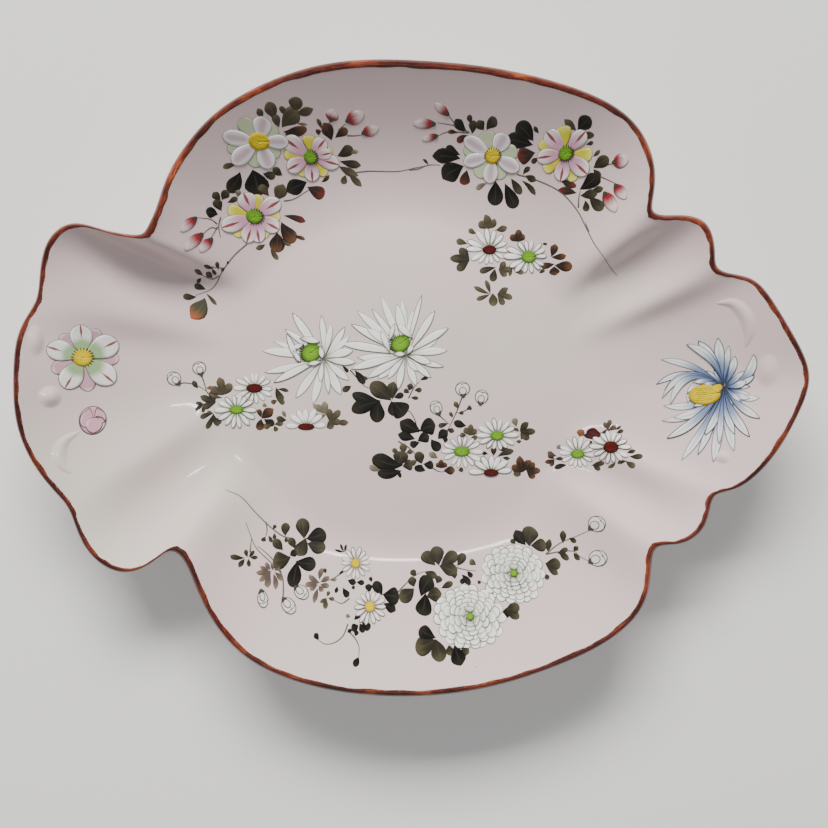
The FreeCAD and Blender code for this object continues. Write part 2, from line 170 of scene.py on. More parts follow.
def cubic_weights(share):
    s = share
    return np.array([(1 - s) ** 3, 3 * s ** 3 - 6 * s ** 2 + 4,
                     -3 * s ** 3 + 3 * s ** 2 + 3 * s + 1, s ** 3]) / 6.0


def clamped_basis(count, steps):
    """Cubic basis over a clamped uniform knot row."""
    spans = count - 3
    knots = np.concatenate([[0] * 3, np.arange(spans + 1), [spans] * 3])
    knots = knots.astype(float)
    values = np.linspace(0.0, spans, spans * steps + 1)
    basis = np.zeros((len(values), count + 3))
    for i in range(count + 3):
        inside = (values >= knots[i]) & (values < knots[i + 1])
        basis[inside, i] = 1.0
    basis[-1, count - 1] = 1.0
    for degree in range(1, 4):
        raised = np.zeros((len(values), count + 3 - degree))
        for i in range(count + 3 - degree):
            left = knots[i + degree] - knots[i]
            right = knots[i + degree + 1] - knots[i + 1]
            if left > 0:
                raised[:, i] += (values - knots[i]) / left * basis[:, i]
            if right > 0:
                raised[:, i] += ((knots[i + degree + 1] - values)
                                 / right * basis[:, i + 1])
        basis = raised
    return basis


def skin_grid(columns, around, across):
    """Points of the cubic surface: closed one way, clamped the other."""
    poles = np.array(columns)
    count = len(poles)
    basis = clamped_basis(poles.shape[1], across)
    grid = []
    for i in range(count):
        for k in range(around):
            w = cubic_weights(k / around)
            mixed = sum(w[j] * poles[(i - 1 + j) % count]
                        for j in range(4))
            grid.append(basis @ mixed)
    return np.array(grid)


# ---- mesh helpers --------------------------------------------------------
def add_mesh(name, points, faces, material, nodes=(),
             traits=None):
    """A smooth mesh from millimetre points that rides on the platter."""
    mesh = bpy.data.meshes.new(name)
    mesh.from_pydata([tuple(p) for p in np.asarray(points) * MM], [],
                     faces)
    mesh.shade_smooth()
    for key, values in (traits or {}).items():
        layer = mesh.attributes.new(key, "FLOAT_VECTOR", "POINT")
        layer.data.foreach_set(
            "vector", np.asarray(values, dtype=np.float32).ravel())
    piece = bpy.data.objects.new(name, mesh)
    bpy.context.scene.collection.objects.link(piece)
    mesh.materials.append(material)
    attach(piece, "root")
    if nodes:
        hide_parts(*nodes)
    return piece


def ring_faces(rings, size, flip=False):
    faces = []
    for i in range(rings - 1):
        for k in range(size):
            a = i * size + k
            b = i * size + (k + 1) % size
            c = b + size
            d = a + size
            faces.append((a, b, c, d) if flip else (d, c, b, a))
    return faces


# ---- materials ------------------------------------------------------------
class Shader:
    """A few short cuts for building a node tree."""

    def __init__(self, name):
        self.material = bpy.data.materials.new(name)
        self.material.use_nodes = True
        self.tree = self.material.node_tree
        self.base = self.tree.nodes["Principled BSDF"]

    def node(self, kind, **inputs):
        made = self.tree.nodes.new(kind)
        for key, value in inputs.items():
            made.inputs[key.replace("_", " ")].default_value = value
        return made

    def link(self, source, target):
        self.tree.links.new(source, target)

    def place(self):
        return self.node("ShaderNodeTexCoord").outputs["Object"]

    def split(self, vector):
        made = self.node("ShaderNodeSeparateXYZ")
        self.link(vector, made.inputs[0])
        return made.outputs

    def cells(self, scale):
        made = self.node("ShaderNodeTexVoronoi", Scale=scale)
        self.link(self.place(), made.inputs["Vector"])
        return made.outputs["Distance"]

    def noise(self, scale, detail=4.0, rough=0.5, vector=None):
        made = self.node("ShaderNodeTexNoise", Scale=scale, Detail=detail,
                         Roughness=rough)
        self.link(vector or self.place(), made.inputs["Vector"])
        return made.outputs["Fac"]

    def ramp(self, factor, *stops):
        made = self.node("ShaderNodeValToRGB")
        bar = made.color_ramp
        while len(bar.elements) < len(stops):
            bar.elements.new(0.5)
        for element, (place, color) in zip(bar.elements, stops):
            element.position = place
            element.color = (*color, 1.0)
        self.link(factor, made.inputs["Fac"])
        return made.outputs["Color"]

    def math(self, kind, a, b=None, c=None):
        made = self.node("ShaderNodeMath")
        made.operation = kind
        for socket, value in ((0, a), (1, b), (2, c)):
            if value is None:
                continue
            if isinstance(value, (int, float)):
                made.inputs[socket].default_value = value
            else:
                self.link(value, made.inputs[socket])
        return made.outputs[0]

    def mix(self, factor, a, b):
        made = self.node("ShaderNodeMix")
        made.data_type = "RGBA"
        for socket, value in ((0, factor), (6, a), (7, b)):
            if isinstance(value, (int, float)):
                made.inputs[socket].default_value = value
            elif isinstance(value, tuple):
                made.inputs[socket].default_value = (*value, 1.0)
            else:
                self.link(value, made.inputs[socket])
        return made.outputs[2]

    def fade(self, value, low, high):
        """0 at low to 1 at high, smoothly; low may be the larger."""
        made = self.node("ShaderNodeMapRange")
        made.interpolation_type = "SMOOTHSTEP"
        flip = low > high
        self.link(value, made.inputs["Value"])
        made.inputs["From Min"].default_value = min(low, high)
        made.inputs["From Max"].default_value = max(low, high)
        made.inputs["To Min"].default_value = 1.0 if flip else 0.0
        made.inputs["To Max"].default_value = 0.0 if flip else 1.0
        return made.outputs["Result"]

    def palette(self, tone, *colors):
        """The colour whose place in the list is the tone."""
        made = self.node("ShaderNodeValToRGB")
        bar = made.color_ramp
        bar.interpolation = "CONSTANT"
        while len(bar.elements) < len(colors):
            bar.elements.new(1.0)
        for k, color in enumerate(colors):
            bar.elements[k].position = k / len(colors)
            bar.elements[k].color = (*color, 1.0)
        share = self.math("MULTIPLY", self.math("ADD", tone, 0.5),
                          1.0 / len(colors))
        self.link(share, made.inputs["Fac"])
        return made.outputs["Color"]

    def trait(self, name):
        made = self.node("ShaderNodeAttribute")
        made.attribute_name = name
        vector = made.outputs["Vector"]
        return (vector, *self.split(vector))

    def bump(self, height, strength, distance):
        made = self.node("ShaderNodeBump", Strength=strength,
                         Distance=distance)
        self.link(height, made.inputs["Height"])
        self.link(made.outputs["Normal"], self.base.inputs["Normal"])

    def finish(self, color, roughness, coat=0.0):
        target = self.base.inputs["Base Color"]
        if isinstance(color, tuple):
            target.default_value = (*color, 1.0)
        else:
            self.link(color, target)
        if isinstance(roughness, (int, float)):
            self.base.inputs["Roughness"].default_value = roughness
        else:
            self.link(roughness, self.base.inputs["Roughness"])
        self.base.inputs["Coat Weight"].default_value = coat
        self.base.inputs["Coat Roughness"].default_value = 0.06
        return self.material


def rgb(red, green, blue):
    """Linear colour from everyday 0-255 values."""
    result = []
    for value in (red, green, blue):
        share = value / 255.0
        if share <= 0.04045:
            result.append(share / 12.92)
        else:
            result.append(((share + 0.055) / 1.055) ** 2.4)
    return tuple(result)


def glaze_material():
    s = Shader("glaze")
    cloud = s.noise(9.0, 3.0, 0.45)
    color = s.ramp(cloud, (0.34, rgb(217, 207, 197)),
                   (0.5, rgb(223, 202, 201)), (0.66, rgb(222, 200, 201)))
    dot = s.math("LESS_THAN", s.cells(70.0), 0.018)
    keep = s.math("GREATER_THAN", s.noise(23.0, 1.0), 0.6)
    color = s.mix(s.math("MULTIPLY", dot, keep), color, rgb(120, 95, 80))
    s.bump(s.noise(26.0, 2.0, 0.4), 0.05, 0.004)
    return s.finish(color, s.math("MULTIPLY_ADD", cloud, 0.1, 0.24), 0.6)


def iron_red_material():
    s = Shader("iron_red")
    vector, _, _, middle = s.trait("band")
    stretch = s.node("ShaderNodeMapping")
    stretch.inputs["Scale"].default_value = (0.16, 1.1, 0.0)
    s.link(vector, stretch.inputs["Vector"])
    streak = s.noise(1.6, 5.0, 0.66, stretch.outputs["Vector"])
    slow = s.noise(0.045, 2.0, 0.5, vector)
    fine = s.noise(1.9, 4.0, 0.7, vector)
    mixed = s.math("ADD", s.math("MULTIPLY", streak, 0.55),
                   s.math("MULTIPLY", slow, 0.65))
    mixed = s.math("ADD", mixed, s.math("MULTIPLY", fine, 0.15))
    color = s.ramp(mixed, (0.6, rgb(54, 15, 9)), (0.71, rgb(98, 34, 19)),
                   (0.81, rgb(150, 70, 36)), (0.93, rgb(208, 130, 84)))
    worn = s.math("MULTIPLY", s.fade(middle, 0.3, 0.05),
                  s.fade(fine, 0.5, 0.62))
    color = s.mix(s.math("MULTIPLY", worn, 0.6), color, rgb(214, 160, 130))
    s.bump(fine, 0.15, 0.0006)
    return s.finish(color, 0.3, 0.15)


def foot_material():
    s = Shader("foot_porcelain")
    bare = s.math("LESS_THAN", s.split(s.place())[2], 0.0014)
    grit = s.noise(900.0, 3.0, 0.7)
    biscuit = s.ramp(grit, (0.35, rgb(176, 160, 136)),
                     (0.65, rgb(208, 196, 176)))
    color = s.mix(bare, rgb(216, 208, 208), biscuit)
    rough = s.math("MULTIPLY_ADD", bare, 0.5, 0.25)
    s.bump(grit, 0.2, 0.0004)
    return s.finish(color, rough)


def enamel_shader(name):
    """A shader with a petal's own measures: along, across, edge, seed."""
    s = Shader(name)
    _, s.along, s.across, s.tone = s.trait("shade")
    _, s.margin, _, s.seed = s.trait("edge")
    s.spread = s.math("ABSOLUTE", s.across)
    brush = s.node("ShaderNodeCombineXYZ")
    s.link(s.math("MULTIPLY", s.along, 1.6), brush.inputs[0])
    s.link(s.math("MULTIPLY", s.across, 5.0), brush.inputs[1])
    s.link(s.seed, brush.inputs[2])
    s.brush = s.noise(1.3, 4.0, 0.6, brush.outputs[0])
    return s


def outlined(s, color, thin, thick, ink, strength=0.9):
    """Darkens a line of uneven width along the edge of each sheet."""
    wobble = s.math("MULTIPLY", s.math("SUBTRACT", s.brush, 0.5), 0.25)
    line = s.fade(s.math("ADD", s.margin, wobble), thick, thin)
    return s.mix(s.math("MULTIPLY", line, strength), color, ink)


def streaked(s, color, ink, start, stop, half_width):
    """A tapering brush stroke up the middle of each petal."""
    share = s.math("DIVIDE", s.math("SUBTRACT", s.along, start),
                   stop - start)
    taper = s.math("SUBTRACT", 1.0, s.math("ABSOLUTE", s.math(
        "SUBTRACT", s.math("MULTIPLY", share, 2.0), 1.3)))
    reach = s.math("MULTIPLY", s.math("MINIMUM", s.math(
        "MULTIPLY", taper, 2.0), 1.0), half_width)
    stroke = s.fade(s.math("SUBTRACT", s.spread, reach), 0.06, -0.02)
    return s.mix(s.math("MULTIPLY", stroke, 0.92), color, ink)


def glassy(s, color, rough=0.16):
    s.bump(s.brush, 0.12, 0.0004)
    return s.finish(color, rough, 0.3)


def white_petal():
    s = enamel_shader("enamel_white_petal")
    inset = s.palette(s.tone, *[(share,) * 3 for share in (0.0, 0.0, 0.42)])
    reach = s.math("SUBTRACT", s.along, inset)
    base = s.palette(s.tone, rgb(196, 200, 178), rgb(206, 184, 178),
                     rgb(188, 192, 176))
    tip = s.palette(s.tone, rgb(252, 252, 247), rgb(248, 237, 235),
                    rgb(252, 252, 247))
    body = s.mix(s.fade(reach, 0.02, 0.5), base, tip)
    groove = s.math("MULTIPLY", s.fade(s.spread, 0.5, 0.0),
                    s.fade(s.along, 0.95, 0.3))
    body = s.mix(s.math("MULTIPLY", groove, 0.3), body, rgb(196, 200, 186))
    body = s.mix(s.math("MULTIPLY", s.fade(s.brush, 0.55, 0.75), 0.25),
                 body, rgb(206, 206, 198))
    heavy = s.math("MULTIPLY_ADD", s.math("FRACT", s.seed), 0.5, 0.5)
    return glassy(s, outlined(s, body, 0.2, 0.46, rgb(70, 66, 60), heavy))


def open_petal():
    s = enamel_shader("enamel_open_petal")
    flush = s.math("MULTIPLY", s.fade(s.spread, 0.75, 0.1),
                   s.fade(s.along, 0.1, 0.4))
    flush = s.math("MULTIPLY", flush, s.fade(s.along, 1.0, 0.8))
    petal = s.mix(s.math("MULTIPLY", flush, 0.9), rgb(240, 238, 234),
                  rgb(202, 172, 188))
    sepal = s.mix(s.brush, rgb(184, 196, 156), rgb(204, 212, 180))
    body = s.mix(s.math("GREATER_THAN", s.tone, 0.5), petal, sepal)
    return glassy(s, outlined(s, body, 0.1, 0.28, rgb(112, 106, 104)))


def streaked_petal():
    s = enamel_shader("enamel_streaked_petal")
    petal = s.mix(s.fade(s.math("ADD", s.along, s.math(
        "MULTIPLY", s.brush, 0.3)), 0.45, 1.05), rgb(208, 156, 180),
        rgb(236, 230, 228))
    petal = streaked(s, petal, rgb(142, 22, 38), 0.26, 1.25, 0.15)
    sepal = s.mix(s.fade(s.along, 0.55, 1.0), rgb(210, 202, 44),
                  rgb(238, 234, 116))
    body = s.mix(s.math("GREATER_THAN", s.tone, 0.5), petal, sepal)
    return glassy(s, outlined(s, body, 0.1, 0.26, rgb(104, 96, 92)))


def ear_petal():
    s = enamel_shader("enamel_ear_petal")
    reach = s.math("ADD", s.along, s.math("MULTIPLY", s.spread, 0.12))
    petal = s.mix(s.fade(reach, 0.42, 0.68), rgb(150, 180, 130),
                  rgb(236, 235, 232))
    petal = streaked(s, petal, rgb(130, 28, 24), 0.46, 1.25, 0.1)
    sepal = s.mix(s.fade(s.along, 0.82, 1.0), rgb(202, 158, 174),
                  rgb(228, 214, 216))
    body = s.mix(s.math("GREATER_THAN", s.tone, 0.5), petal, sepal)
    return glassy(s, outlined(s, body, 0.12, 0.34, rgb(84, 78, 76)))


def blue_petal():
    s = enamel_shader("enamel_blue_petal")
    reach = s.math("ADD", s.along, s.math("MULTIPLY", s.math(
        "SUBTRACT", s.brush, 0.5), 0.6))
    body = s.mix(s.fade(reach, 0.1, 0.5), rgb(50, 70, 122),
                 rgb(138, 158, 190))
    body = s.mix(s.fade(reach, 0.42, 0.75), body, rgb(238, 240, 238))
    stroke = s.math("MULTIPLY", s.fade(s.brush, 0.5, 0.6),
                    s.fade(s.along, 0.8, 0.4))
    body = s.mix(s.math("MULTIPLY", stroke, 0.7), body, rgb(36, 50, 104))
    groove = s.math("MULTIPLY", s.fade(s.spread, 0.4, 0.0), 0.35)
    body = s.mix(groove, body, rgb(120, 140, 170))
    heavy = s.math("MULTIPLY_ADD", s.math("FRACT", s.seed), 0.35, 0.65)
    return glassy(s, outlined(s, body, 0.24, 0.5, rgb(52, 58, 72), heavy))


def heart_enamel():
    s = enamel_shader("enamel_heart")
    seeds = s.cells(1500.0)
    middle = s.palette(s.tone, rgb(222, 198, 0), rgb(112, 164, 36),
                       rgb(78, 8, 4), rgb(58, 52, 44))
    side = s.palette(s.tone, rgb(196, 166, 0), rgb(80, 126, 24),
                     rgb(60, 5, 4), rgb(58, 52, 44))
    body = s.mix(s.fade(s.along, 0.35, 1.0), middle, side)
    dots = s.fade(seeds, 0.32, 0.2)
    body = s.mix(s.math("MULTIPLY", dots, 0.22), body, rgb(84, 76, 30))
    s.bump(seeds, 0.5, 0.0003)
    return s.finish(body, 0.4)


def leaf_enamel():
    s = enamel_shader("enamel_leaf")
    root = s.palette(s.tone, rgb(12, 11, 7), rgb(40, 37, 25),
                     rgb(64, 57, 41), rgb(100, 93, 76), rgb(40, 26, 18),
                     rgb(44, 34, 26), rgb(70, 68, 50), rgb(86, 74, 66),
                     rgb(108, 64, 32), rgb(64, 12, 14))
    tip = s.palette(s.tone, rgb(40, 37, 26), rgb(76, 71, 52),
                    rgb(100, 90, 66), rgb(140, 132, 114), rgb(104, 68, 44),
                    rgb(112, 44, 34), rgb(166, 94, 56), rgb(134, 112, 94),
                    rgb(140, 90, 52), rgb(42, 8, 10))
    reach = s.math("ADD", s.along, s.math("MULTIPLY", s.math(
        "SUBTRACT", s.brush, 0.5), 0.9))
    body = s.mix(s.fade(reach, 0.42, 1.05), root, tip)
    vein = s.math("MULTIPLY", s.fade(s.spread, 0.1, 0.03),
                  s.fade(s.along, 0.9, 0.6))
    body = s.mix(s.math("MULTIPLY", vein, 0.1), body, rgb(140, 132, 112))
    s.bump(s.brush, 0.12, 0.0004)
    return s.finish(body, 0.42)


def bud_enamel():
    s = enamel_shader("enamel_bud")
    reach = s.math("ADD", s.along, s.math("MULTIPLY", s.brush, 0.35))
    red = s.mix(s.fade(reach, 0.4, 0.95), rgb(142, 34, 42),
                rgb(228, 206, 206))
    pink = s.mix(s.fade(s.spread, 0.55, 0.95), rgb(212, 158, 176),
                 rgb(230, 214, 216))
    pick = s.palette(s.tone, rgb(226, 220, 212), rgb(72, 70, 56),
                     rgb(72, 66, 60), rgb(72, 66, 60))
    body = s.mix(s.math("LESS_THAN", s.tone, -0.5), pick, red)
    body = s.mix(s.math("LESS_THAN", s.tone, -1.5), body, pink)
    red_bud = s.math("SUBTRACT", s.math("LESS_THAN", s.tone, -0.5),
                     s.math("LESS_THAN", s.tone, -1.5))
    strength = s.math("MULTIPLY_ADD", red_bud, -0.5, 0.9)
    return glassy(s, outlined(s, body, 0.26, 0.52, rgb(60, 54, 48),
                              strength))


def ink_enamel():
    s = enamel_shader("enamel_ink")
    return glassy(s, s.mix(s.brush, rgb(70, 66, 58), rgb(124, 116, 104)),
                  0.3)


# ---- body, lip band and foot -----------------------------------------------
AROUND, ACROSS = 8, 8
rim_rows = sharpened(np.array([row for _, rows in SPANS for row in rows],
                              dtype=float))
angles = well_angles()
body_columns = []
for row, angle in zip(rim_rows, angles):
    inside, lip, outside = column(row, angle)
    body_columns.append(inside + lip + outside[::-1])

glaze = glaze_material()
grid = skin_grid(body_columns, AROUND, ACROSS)
ring_size = grid.shape[0]


def closing_rings(edge, count=14):
    """Rings from a flat edge in to near its middle."""
    middle = edge.mean(axis=0)
    return [middle + (edge - middle) * (1.0 - (k + 1) / (count + 1.0))
            for k in range(count)]


def fan(start, hub, flip=False):
    """Triangles from a ring's points to the one in its middle."""
    faces = []
    for k in range(ring_size):
        pair = [start + k, start + (k + 1) % ring_size]
        faces.append((*(pair[::-1] if flip else pair), hub))
    return faces


rings = closing_rings(grid[:, 0])[::-1]
rings += [grid[:, k] for k in range(grid.shape[1])]
rings += closing_rings(grid[:, -1])
hubs = [rings[0].mean(axis=0), rings[-1].mean(axis=0)]
body_points = np.concatenate(rings + [np.array(hubs)])
body_faces = ring_faces(len(rings), ring_size, True)
last = (len(rings) - 1) * ring_size
body_faces += fan(0, last + ring_size, True)
body_faces += fan(last, last + ring_size + 1)
add_mesh("platter_body_glazed", body_points, body_faces, glaze,
         ["platter_body"])

BAND_INNER, BAND_OUTER, BAND_STEPS = 3.3, 3.4, 14


def uneven(turns, size, waves):
    """A smooth closed wobble made of a few waves."""
    total = np.zeros_like(turns)
    for wave in waves:
        total += np.sin(wave * turns + random.uniform(0, 6.28))
    return size * total / math.sqrt(len(waves))


def lip_strip():
    """The lip's skin between two brushed edges, and its two measures."""
    middle = grid.shape[1] // 2
    steps = np.linalg.norm(np.diff(grid, axis=1), axis=2)
    run = np.concatenate([np.zeros((ring_size, 1)),
                          np.cumsum(steps, axis=1)], axis=1)
    run -= run[:, middle:middle + 1]
    turns = np.linspace(0, 2 * math.pi, ring_size, endpoint=False)
    inner = BAND_INNER + uneven(turns, 0.28, (7, 19, 43, 61, 97, 130))
    outer = BAND_OUTER + uneven(turns, 0.3, (5, 23, 41, 87))
    share = np.linspace(0.0, 1.0, BAND_STEPS)
    strip = np.zeros((ring_size, BAND_STEPS, 3))
    across = (-inner[:, None] * (1 - share[None])
              + outer[:, None] * share[None])
    for i in range(ring_size):
        for axis in range(3):
            strip[i, :, axis] = np.interp(across[i], run[i],
                                          grid[i, :, axis])
    around = np.roll(strip, -1, axis=0) - np.roll(strip, 1, axis=0)
    over = np.gradient(strip, axis=1)
    normal = np.cross(over, around)
    normal /= np.linalg.norm(normal, axis=2)[..., None]
    away = strip[:, BAND_STEPS // 2] * [1.0, 1.0, 0.0]
    if (normal[:, BAND_STEPS // 2] * away).sum() < 0:
        normal = -normal
    edge = np.abs(2 * share - 1.0) ** 6
    lift = BAND_RISE * 0.6 * (1.0 - edge) - 0.05 * edge
    strip += normal * lift[None, :, None]
    length = np.cumsum(np.linalg.norm(around, axis=2)[:, 5]) / 2.0
    return strip, across, length


strip, across, lengths = lip_strip()
traits = np.zeros((BAND_STEPS, ring_size, 3))
traits[:, :, 0] = lengths[None, :]
traits[:, :, 1] = across.T
traits[:, :, 2] = (1.0 - np.abs(np.linspace(-1, 1, BAND_STEPS)))[:, None]
add_mesh("rim_band_iron_red", np.transpose(strip, (1, 0, 2)).reshape(-1, 3),
         ring_faces(BAND_STEPS, ring_size, True), iron_red_material(),
         ["rim_band"], {"band": traits.reshape(-1, 3)})


def foot_profile():
    """Half section of the foot ring: offset from the outer edge, height."""
    soft = 0.7
    points = [(0.0, FOOT_HEIGHT), (FOOT_TAPER - 0.2, soft + 0.5),
              (FOOT_TAPER, soft), (FOOT_TAPER + 0.2, 0.25),
              (FOOT_TAPER + soft, 0.0)]
    mirrored = [(FOOT_WIDTH - r, z) for r, z in points[::-1]]
    return points + mirrored


turns = np.linspace(0, 2 * math.pi, 240, endpoint=False)
foot_rings = []
for inset, z in foot_profile():
    a = WELL_A - FOOT_INSET - inset
    b = WELL_B - FOOT_INSET - inset
    foot_rings.append(np.stack(
        [WELL_X + a * np.cos(turns), WELL_Y + b * np.sin(turns),
         np.full_like(turns, z)], axis=1))
add_mesh("foot_ring_turned", np.concatenate(foot_rings),
         ring_faces(len(foot_rings), len(turns)), foot_material(),
         ["foot_ring"])

# ---- enamel laid on the glaze ------------------------------------------------
body_tree = BVHTree.FromPolygons([tuple(p) for p in body_points], body_faces)
ABOVE = 80.0  # rays start here, over the lip
SKIRT = -0.06  # how far a sheet's edge dips under the glaze
ROUNDING = 0.9  # how far in from its edge a sheet goes on rising
STEM_DOME = 0.06


def drape(plan, lift):
    """Points over the glaze under each x, y, lifted along its normal."""
    placed = np.empty(plan.shape[:-1] + (3,))
    down = Vector((0.0, 0.0, -1.0))
    for index in np.ndindex(*plan.shape[:-1]):
        x, y = plan[index]
        spot, normal, _, _ = body_tree.ray_cast(Vector((x, y, ABOVE)), down)
        if normal.z < 0:
            normal = -normal
        placed[index] = spot + normal * float(lift[index])
    return placed


def edge_distance(places, outline):
    """How far each place is from the nearest stretch of an outline."""
    run = np.roll(outline, -1, axis=0) - outline
    size = np.maximum((run ** 2).sum(axis=1), 1e-9)
    offset = places[:, None] - outline[None]
    share = np.clip((offset * run[None]).sum(axis=2) / size, 0.0, 1.0)
    gap = offset - share[..., None] * run[None]
    return np.sqrt((gap ** 2).sum(axis=2)).min(axis=1)


def smooth_route(route, steps=5):
    """A smooth line through the given places."""
    route = np.array(route, dtype=float)
    padded = np.concatenate([[2 * route[0] - route[1]], route,
                             [2 * route[-1] - route[-2]]])
    places = []
    for i in range(len(route) - 1):
        p0, p1, p2, p3 = padded[i:i + 4]
        for u in np.linspace(0.0, 1.0, steps + 1)[:-1]:
            places.append(0.5 * (2 * p1 + (p2 - p0) * u
                                 + (2 * p0 - 5 * p1 + 4 * p2 - p3) * u ** 2
                                 + (3 * p1 - p0 - 3 * p2 + p3) * u ** 3))
    places.append(route[-1])
    return np.array(places)


def beside(spine):
    """Unit steps to the left of a line at each of its places."""
    heading = np.gradient(spine, axis=0)
    heading /= np.linalg.norm(heading, axis=1)[:, None]
    return np.stack([-heading[:, 1], heading[:, 0]], axis=1)


class Enamel:
    """Sheets of enamel gathered into one piece."""

    def __init__(self):
        self.points = []
        self.faces = []
        self.shade = []
        self.edge = []
        self.count = 0

    def sheet(self, plan, along, across, outline, tone, level, dome):
        """Lays a grid of x, y places, with a skirt down into the glaze."""
        rows, columns = plan.shape[:2]
        margin = edge_distance(plan.reshape(-1, 2), outline)
        margin = margin.reshape(rows, columns)
        swell = np.clip(margin / ROUNDING, 0.0, 1.0)
        lift = level + dome * np.sqrt(1.0 - (1.0 - swell) ** 2)
        wide = [np.pad(grid, ((1, 1), (1, 1)) + ((0, 0),) * (grid.ndim - 2),
                       mode="edge")
                for grid in (plan, along, across, margin, lift)]
        plan, along, across, margin, lift = wide
        lift[0] = lift[-1] = SKIRT
        lift[:, 0] = lift[:, -1] = SKIRT
        rows += 2
        columns += 2
        seed = np.full_like(margin, random.random() * 10.0)
        tones = np.full_like(margin, float(tone))
        self.points.append(drape(plan, lift).reshape(-1, 3))
        self.shade.append(np.stack([along, across, tones], -1).reshape(-1, 3))
        self.edge.append(np.stack([margin, lift, seed], -1).reshape(-1, 3))
        for i in range(rows - 1):
            for j in range(columns - 1):
                a = self.count + i * columns + j
                b = a + columns
                self.faces.append((a, b, b + 1, a + 1))
        self.count += rows * columns

    def ribbon(self, spine, left, t, width, columns, tone, level, dome):
        """A sheet along a line, with its own half width at each place."""
        s = np.linspace(-1.0, 1.0, columns)
        plan = spine[:, None] + left[:, None] * (
            width[:, None] * s[None])[..., None]
        outline = np.concatenate([plan[:, 0], plan[::-1, -1]])
        self.sheet(plan, np.repeat(t[:, None], columns, 1),
                   np.repeat(s[None], len(t), 0), outline, tone, level, dome)

    def blade(self, base, tip, half_width, tone=0, level=0.05, dome=0.05,
              bend=0.0, belly=0.58, root=0.85, end=0.5, rows=13, columns=7):
        """A petal or leaf. root and end are 0.5 for round, 1 for pointed."""
        base = np.array(base, dtype=float)
        tip = np.array(tip, dtype=float)
        chord = tip - base
        side = np.array([-chord[1], chord[0]]) / np.linalg.norm(chord)
        control = (base + tip) / 2.0 + side * bend * 2.0
        t = (1.0 - np.cos(np.pi * np.linspace(0.0, 1.0, rows))) / 2.0
        u = t[:, None]
        spine = (1 - u) ** 2 * base + 2 * u * (1 - u) * control + u ** 2 * tip
        heading = 2 * (1 - u) * (control - base) + 2 * u * (tip - control)
        heading /= np.linalg.norm(heading, axis=1)[:, None]
        left = np.stack([-heading[:, 1], heading[:, 0]], axis=1)
        rising = np.sin(np.pi / 2 * np.clip(t / belly, 0, 1)) ** root
        falling = np.clip((t - belly) / (1 - belly), 0, 1)
        falling = np.maximum(np.cos(np.pi / 2 * falling), 0.0) ** end
        width = np.maximum(half_width * rising * falling, 0.03)
        self.ribbon(spine, left, t, width, columns, tone, level, dome)

    def ray(self, middle, bearing, start, reach, half_width, **traits):
        """A blade that points away from a flower's middle."""
        way = np.array([math.cos(math.radians(bearing)),
                        math.sin(math.radians(bearing))])
        middle = np.array(middle, dtype=float)
        self.blade(middle + way * start, middle + way * reach, half_width,
                   **traits)

    def disc(self, middle, a, b, tone=0, level=0.05, dome=0.3, bearing=0.0,
             rings=6, steps=24):
        turns = np.linspace(0.0, 2 * math.pi, steps + 1)
        radii = np.linspace(0.02, 1.0, rings)
        tilt = math.radians(bearing)
        x = a * np.cos(turns)
        y = b * np.sin(turns)
        rim = np.stack([x * math.cos(tilt) - y * math.sin(tilt),
                        x * math.sin(tilt) + y * math.cos(tilt)], axis=1)
        plan = np.array(middle) + rim[None] * radii[:, None, None]
        self.sheet(plan, np.repeat(radii[:, None], steps + 1, 1),
                   np.repeat(turns[None] / math.pi - 1.0, rings, 0),
                   plan[-1, :-1], tone, level, dome)

    def stem(self, route, half_width, tone=0, level=0.05, taper=0.4):
        """A painted line through the given places, thinner at its end."""
        spine = smooth_route(route)
        left = beside(spine)
        t = np.linspace(0.0, 1.0, len(spine))
        width = half_width * (1.0 - (1.0 - taper) * t)
        self.ribbon(spine, left, t, width, 3, tone, level, STEM_DOME)

    def arc(self, middle, radius, start, sweep, half_width, **traits):
        turns = np.radians(np.linspace(start, start + sweep, 6))
        route = [(middle[0] + radius * math.cos(turn),
                  middle[1] + radius * math.sin(turn)) for turn in turns]
        self.stem(route, half_width, **traits)

    def finish(self, node, material, slot):
        traits = {"shade": np.concatenate(self.shade),
                  "edge": np.concatenate(self.edge)}
        return add_mesh(node + "_enamel", np.concatenate(self.points),
                        self.faces, material, [node], traits)


pieces = {}


def enamel(node):
    return pieces.setdefault(node, Enamel())


# ---- what is painted where ------------------------------------------------
# Leaf colours, in the order of the leaf enamel's palette.
LEAF_TONES = ["black", "dark", "moss", "pale", "brown", "rust", "orange",
              "feather", "tan", "wine"]
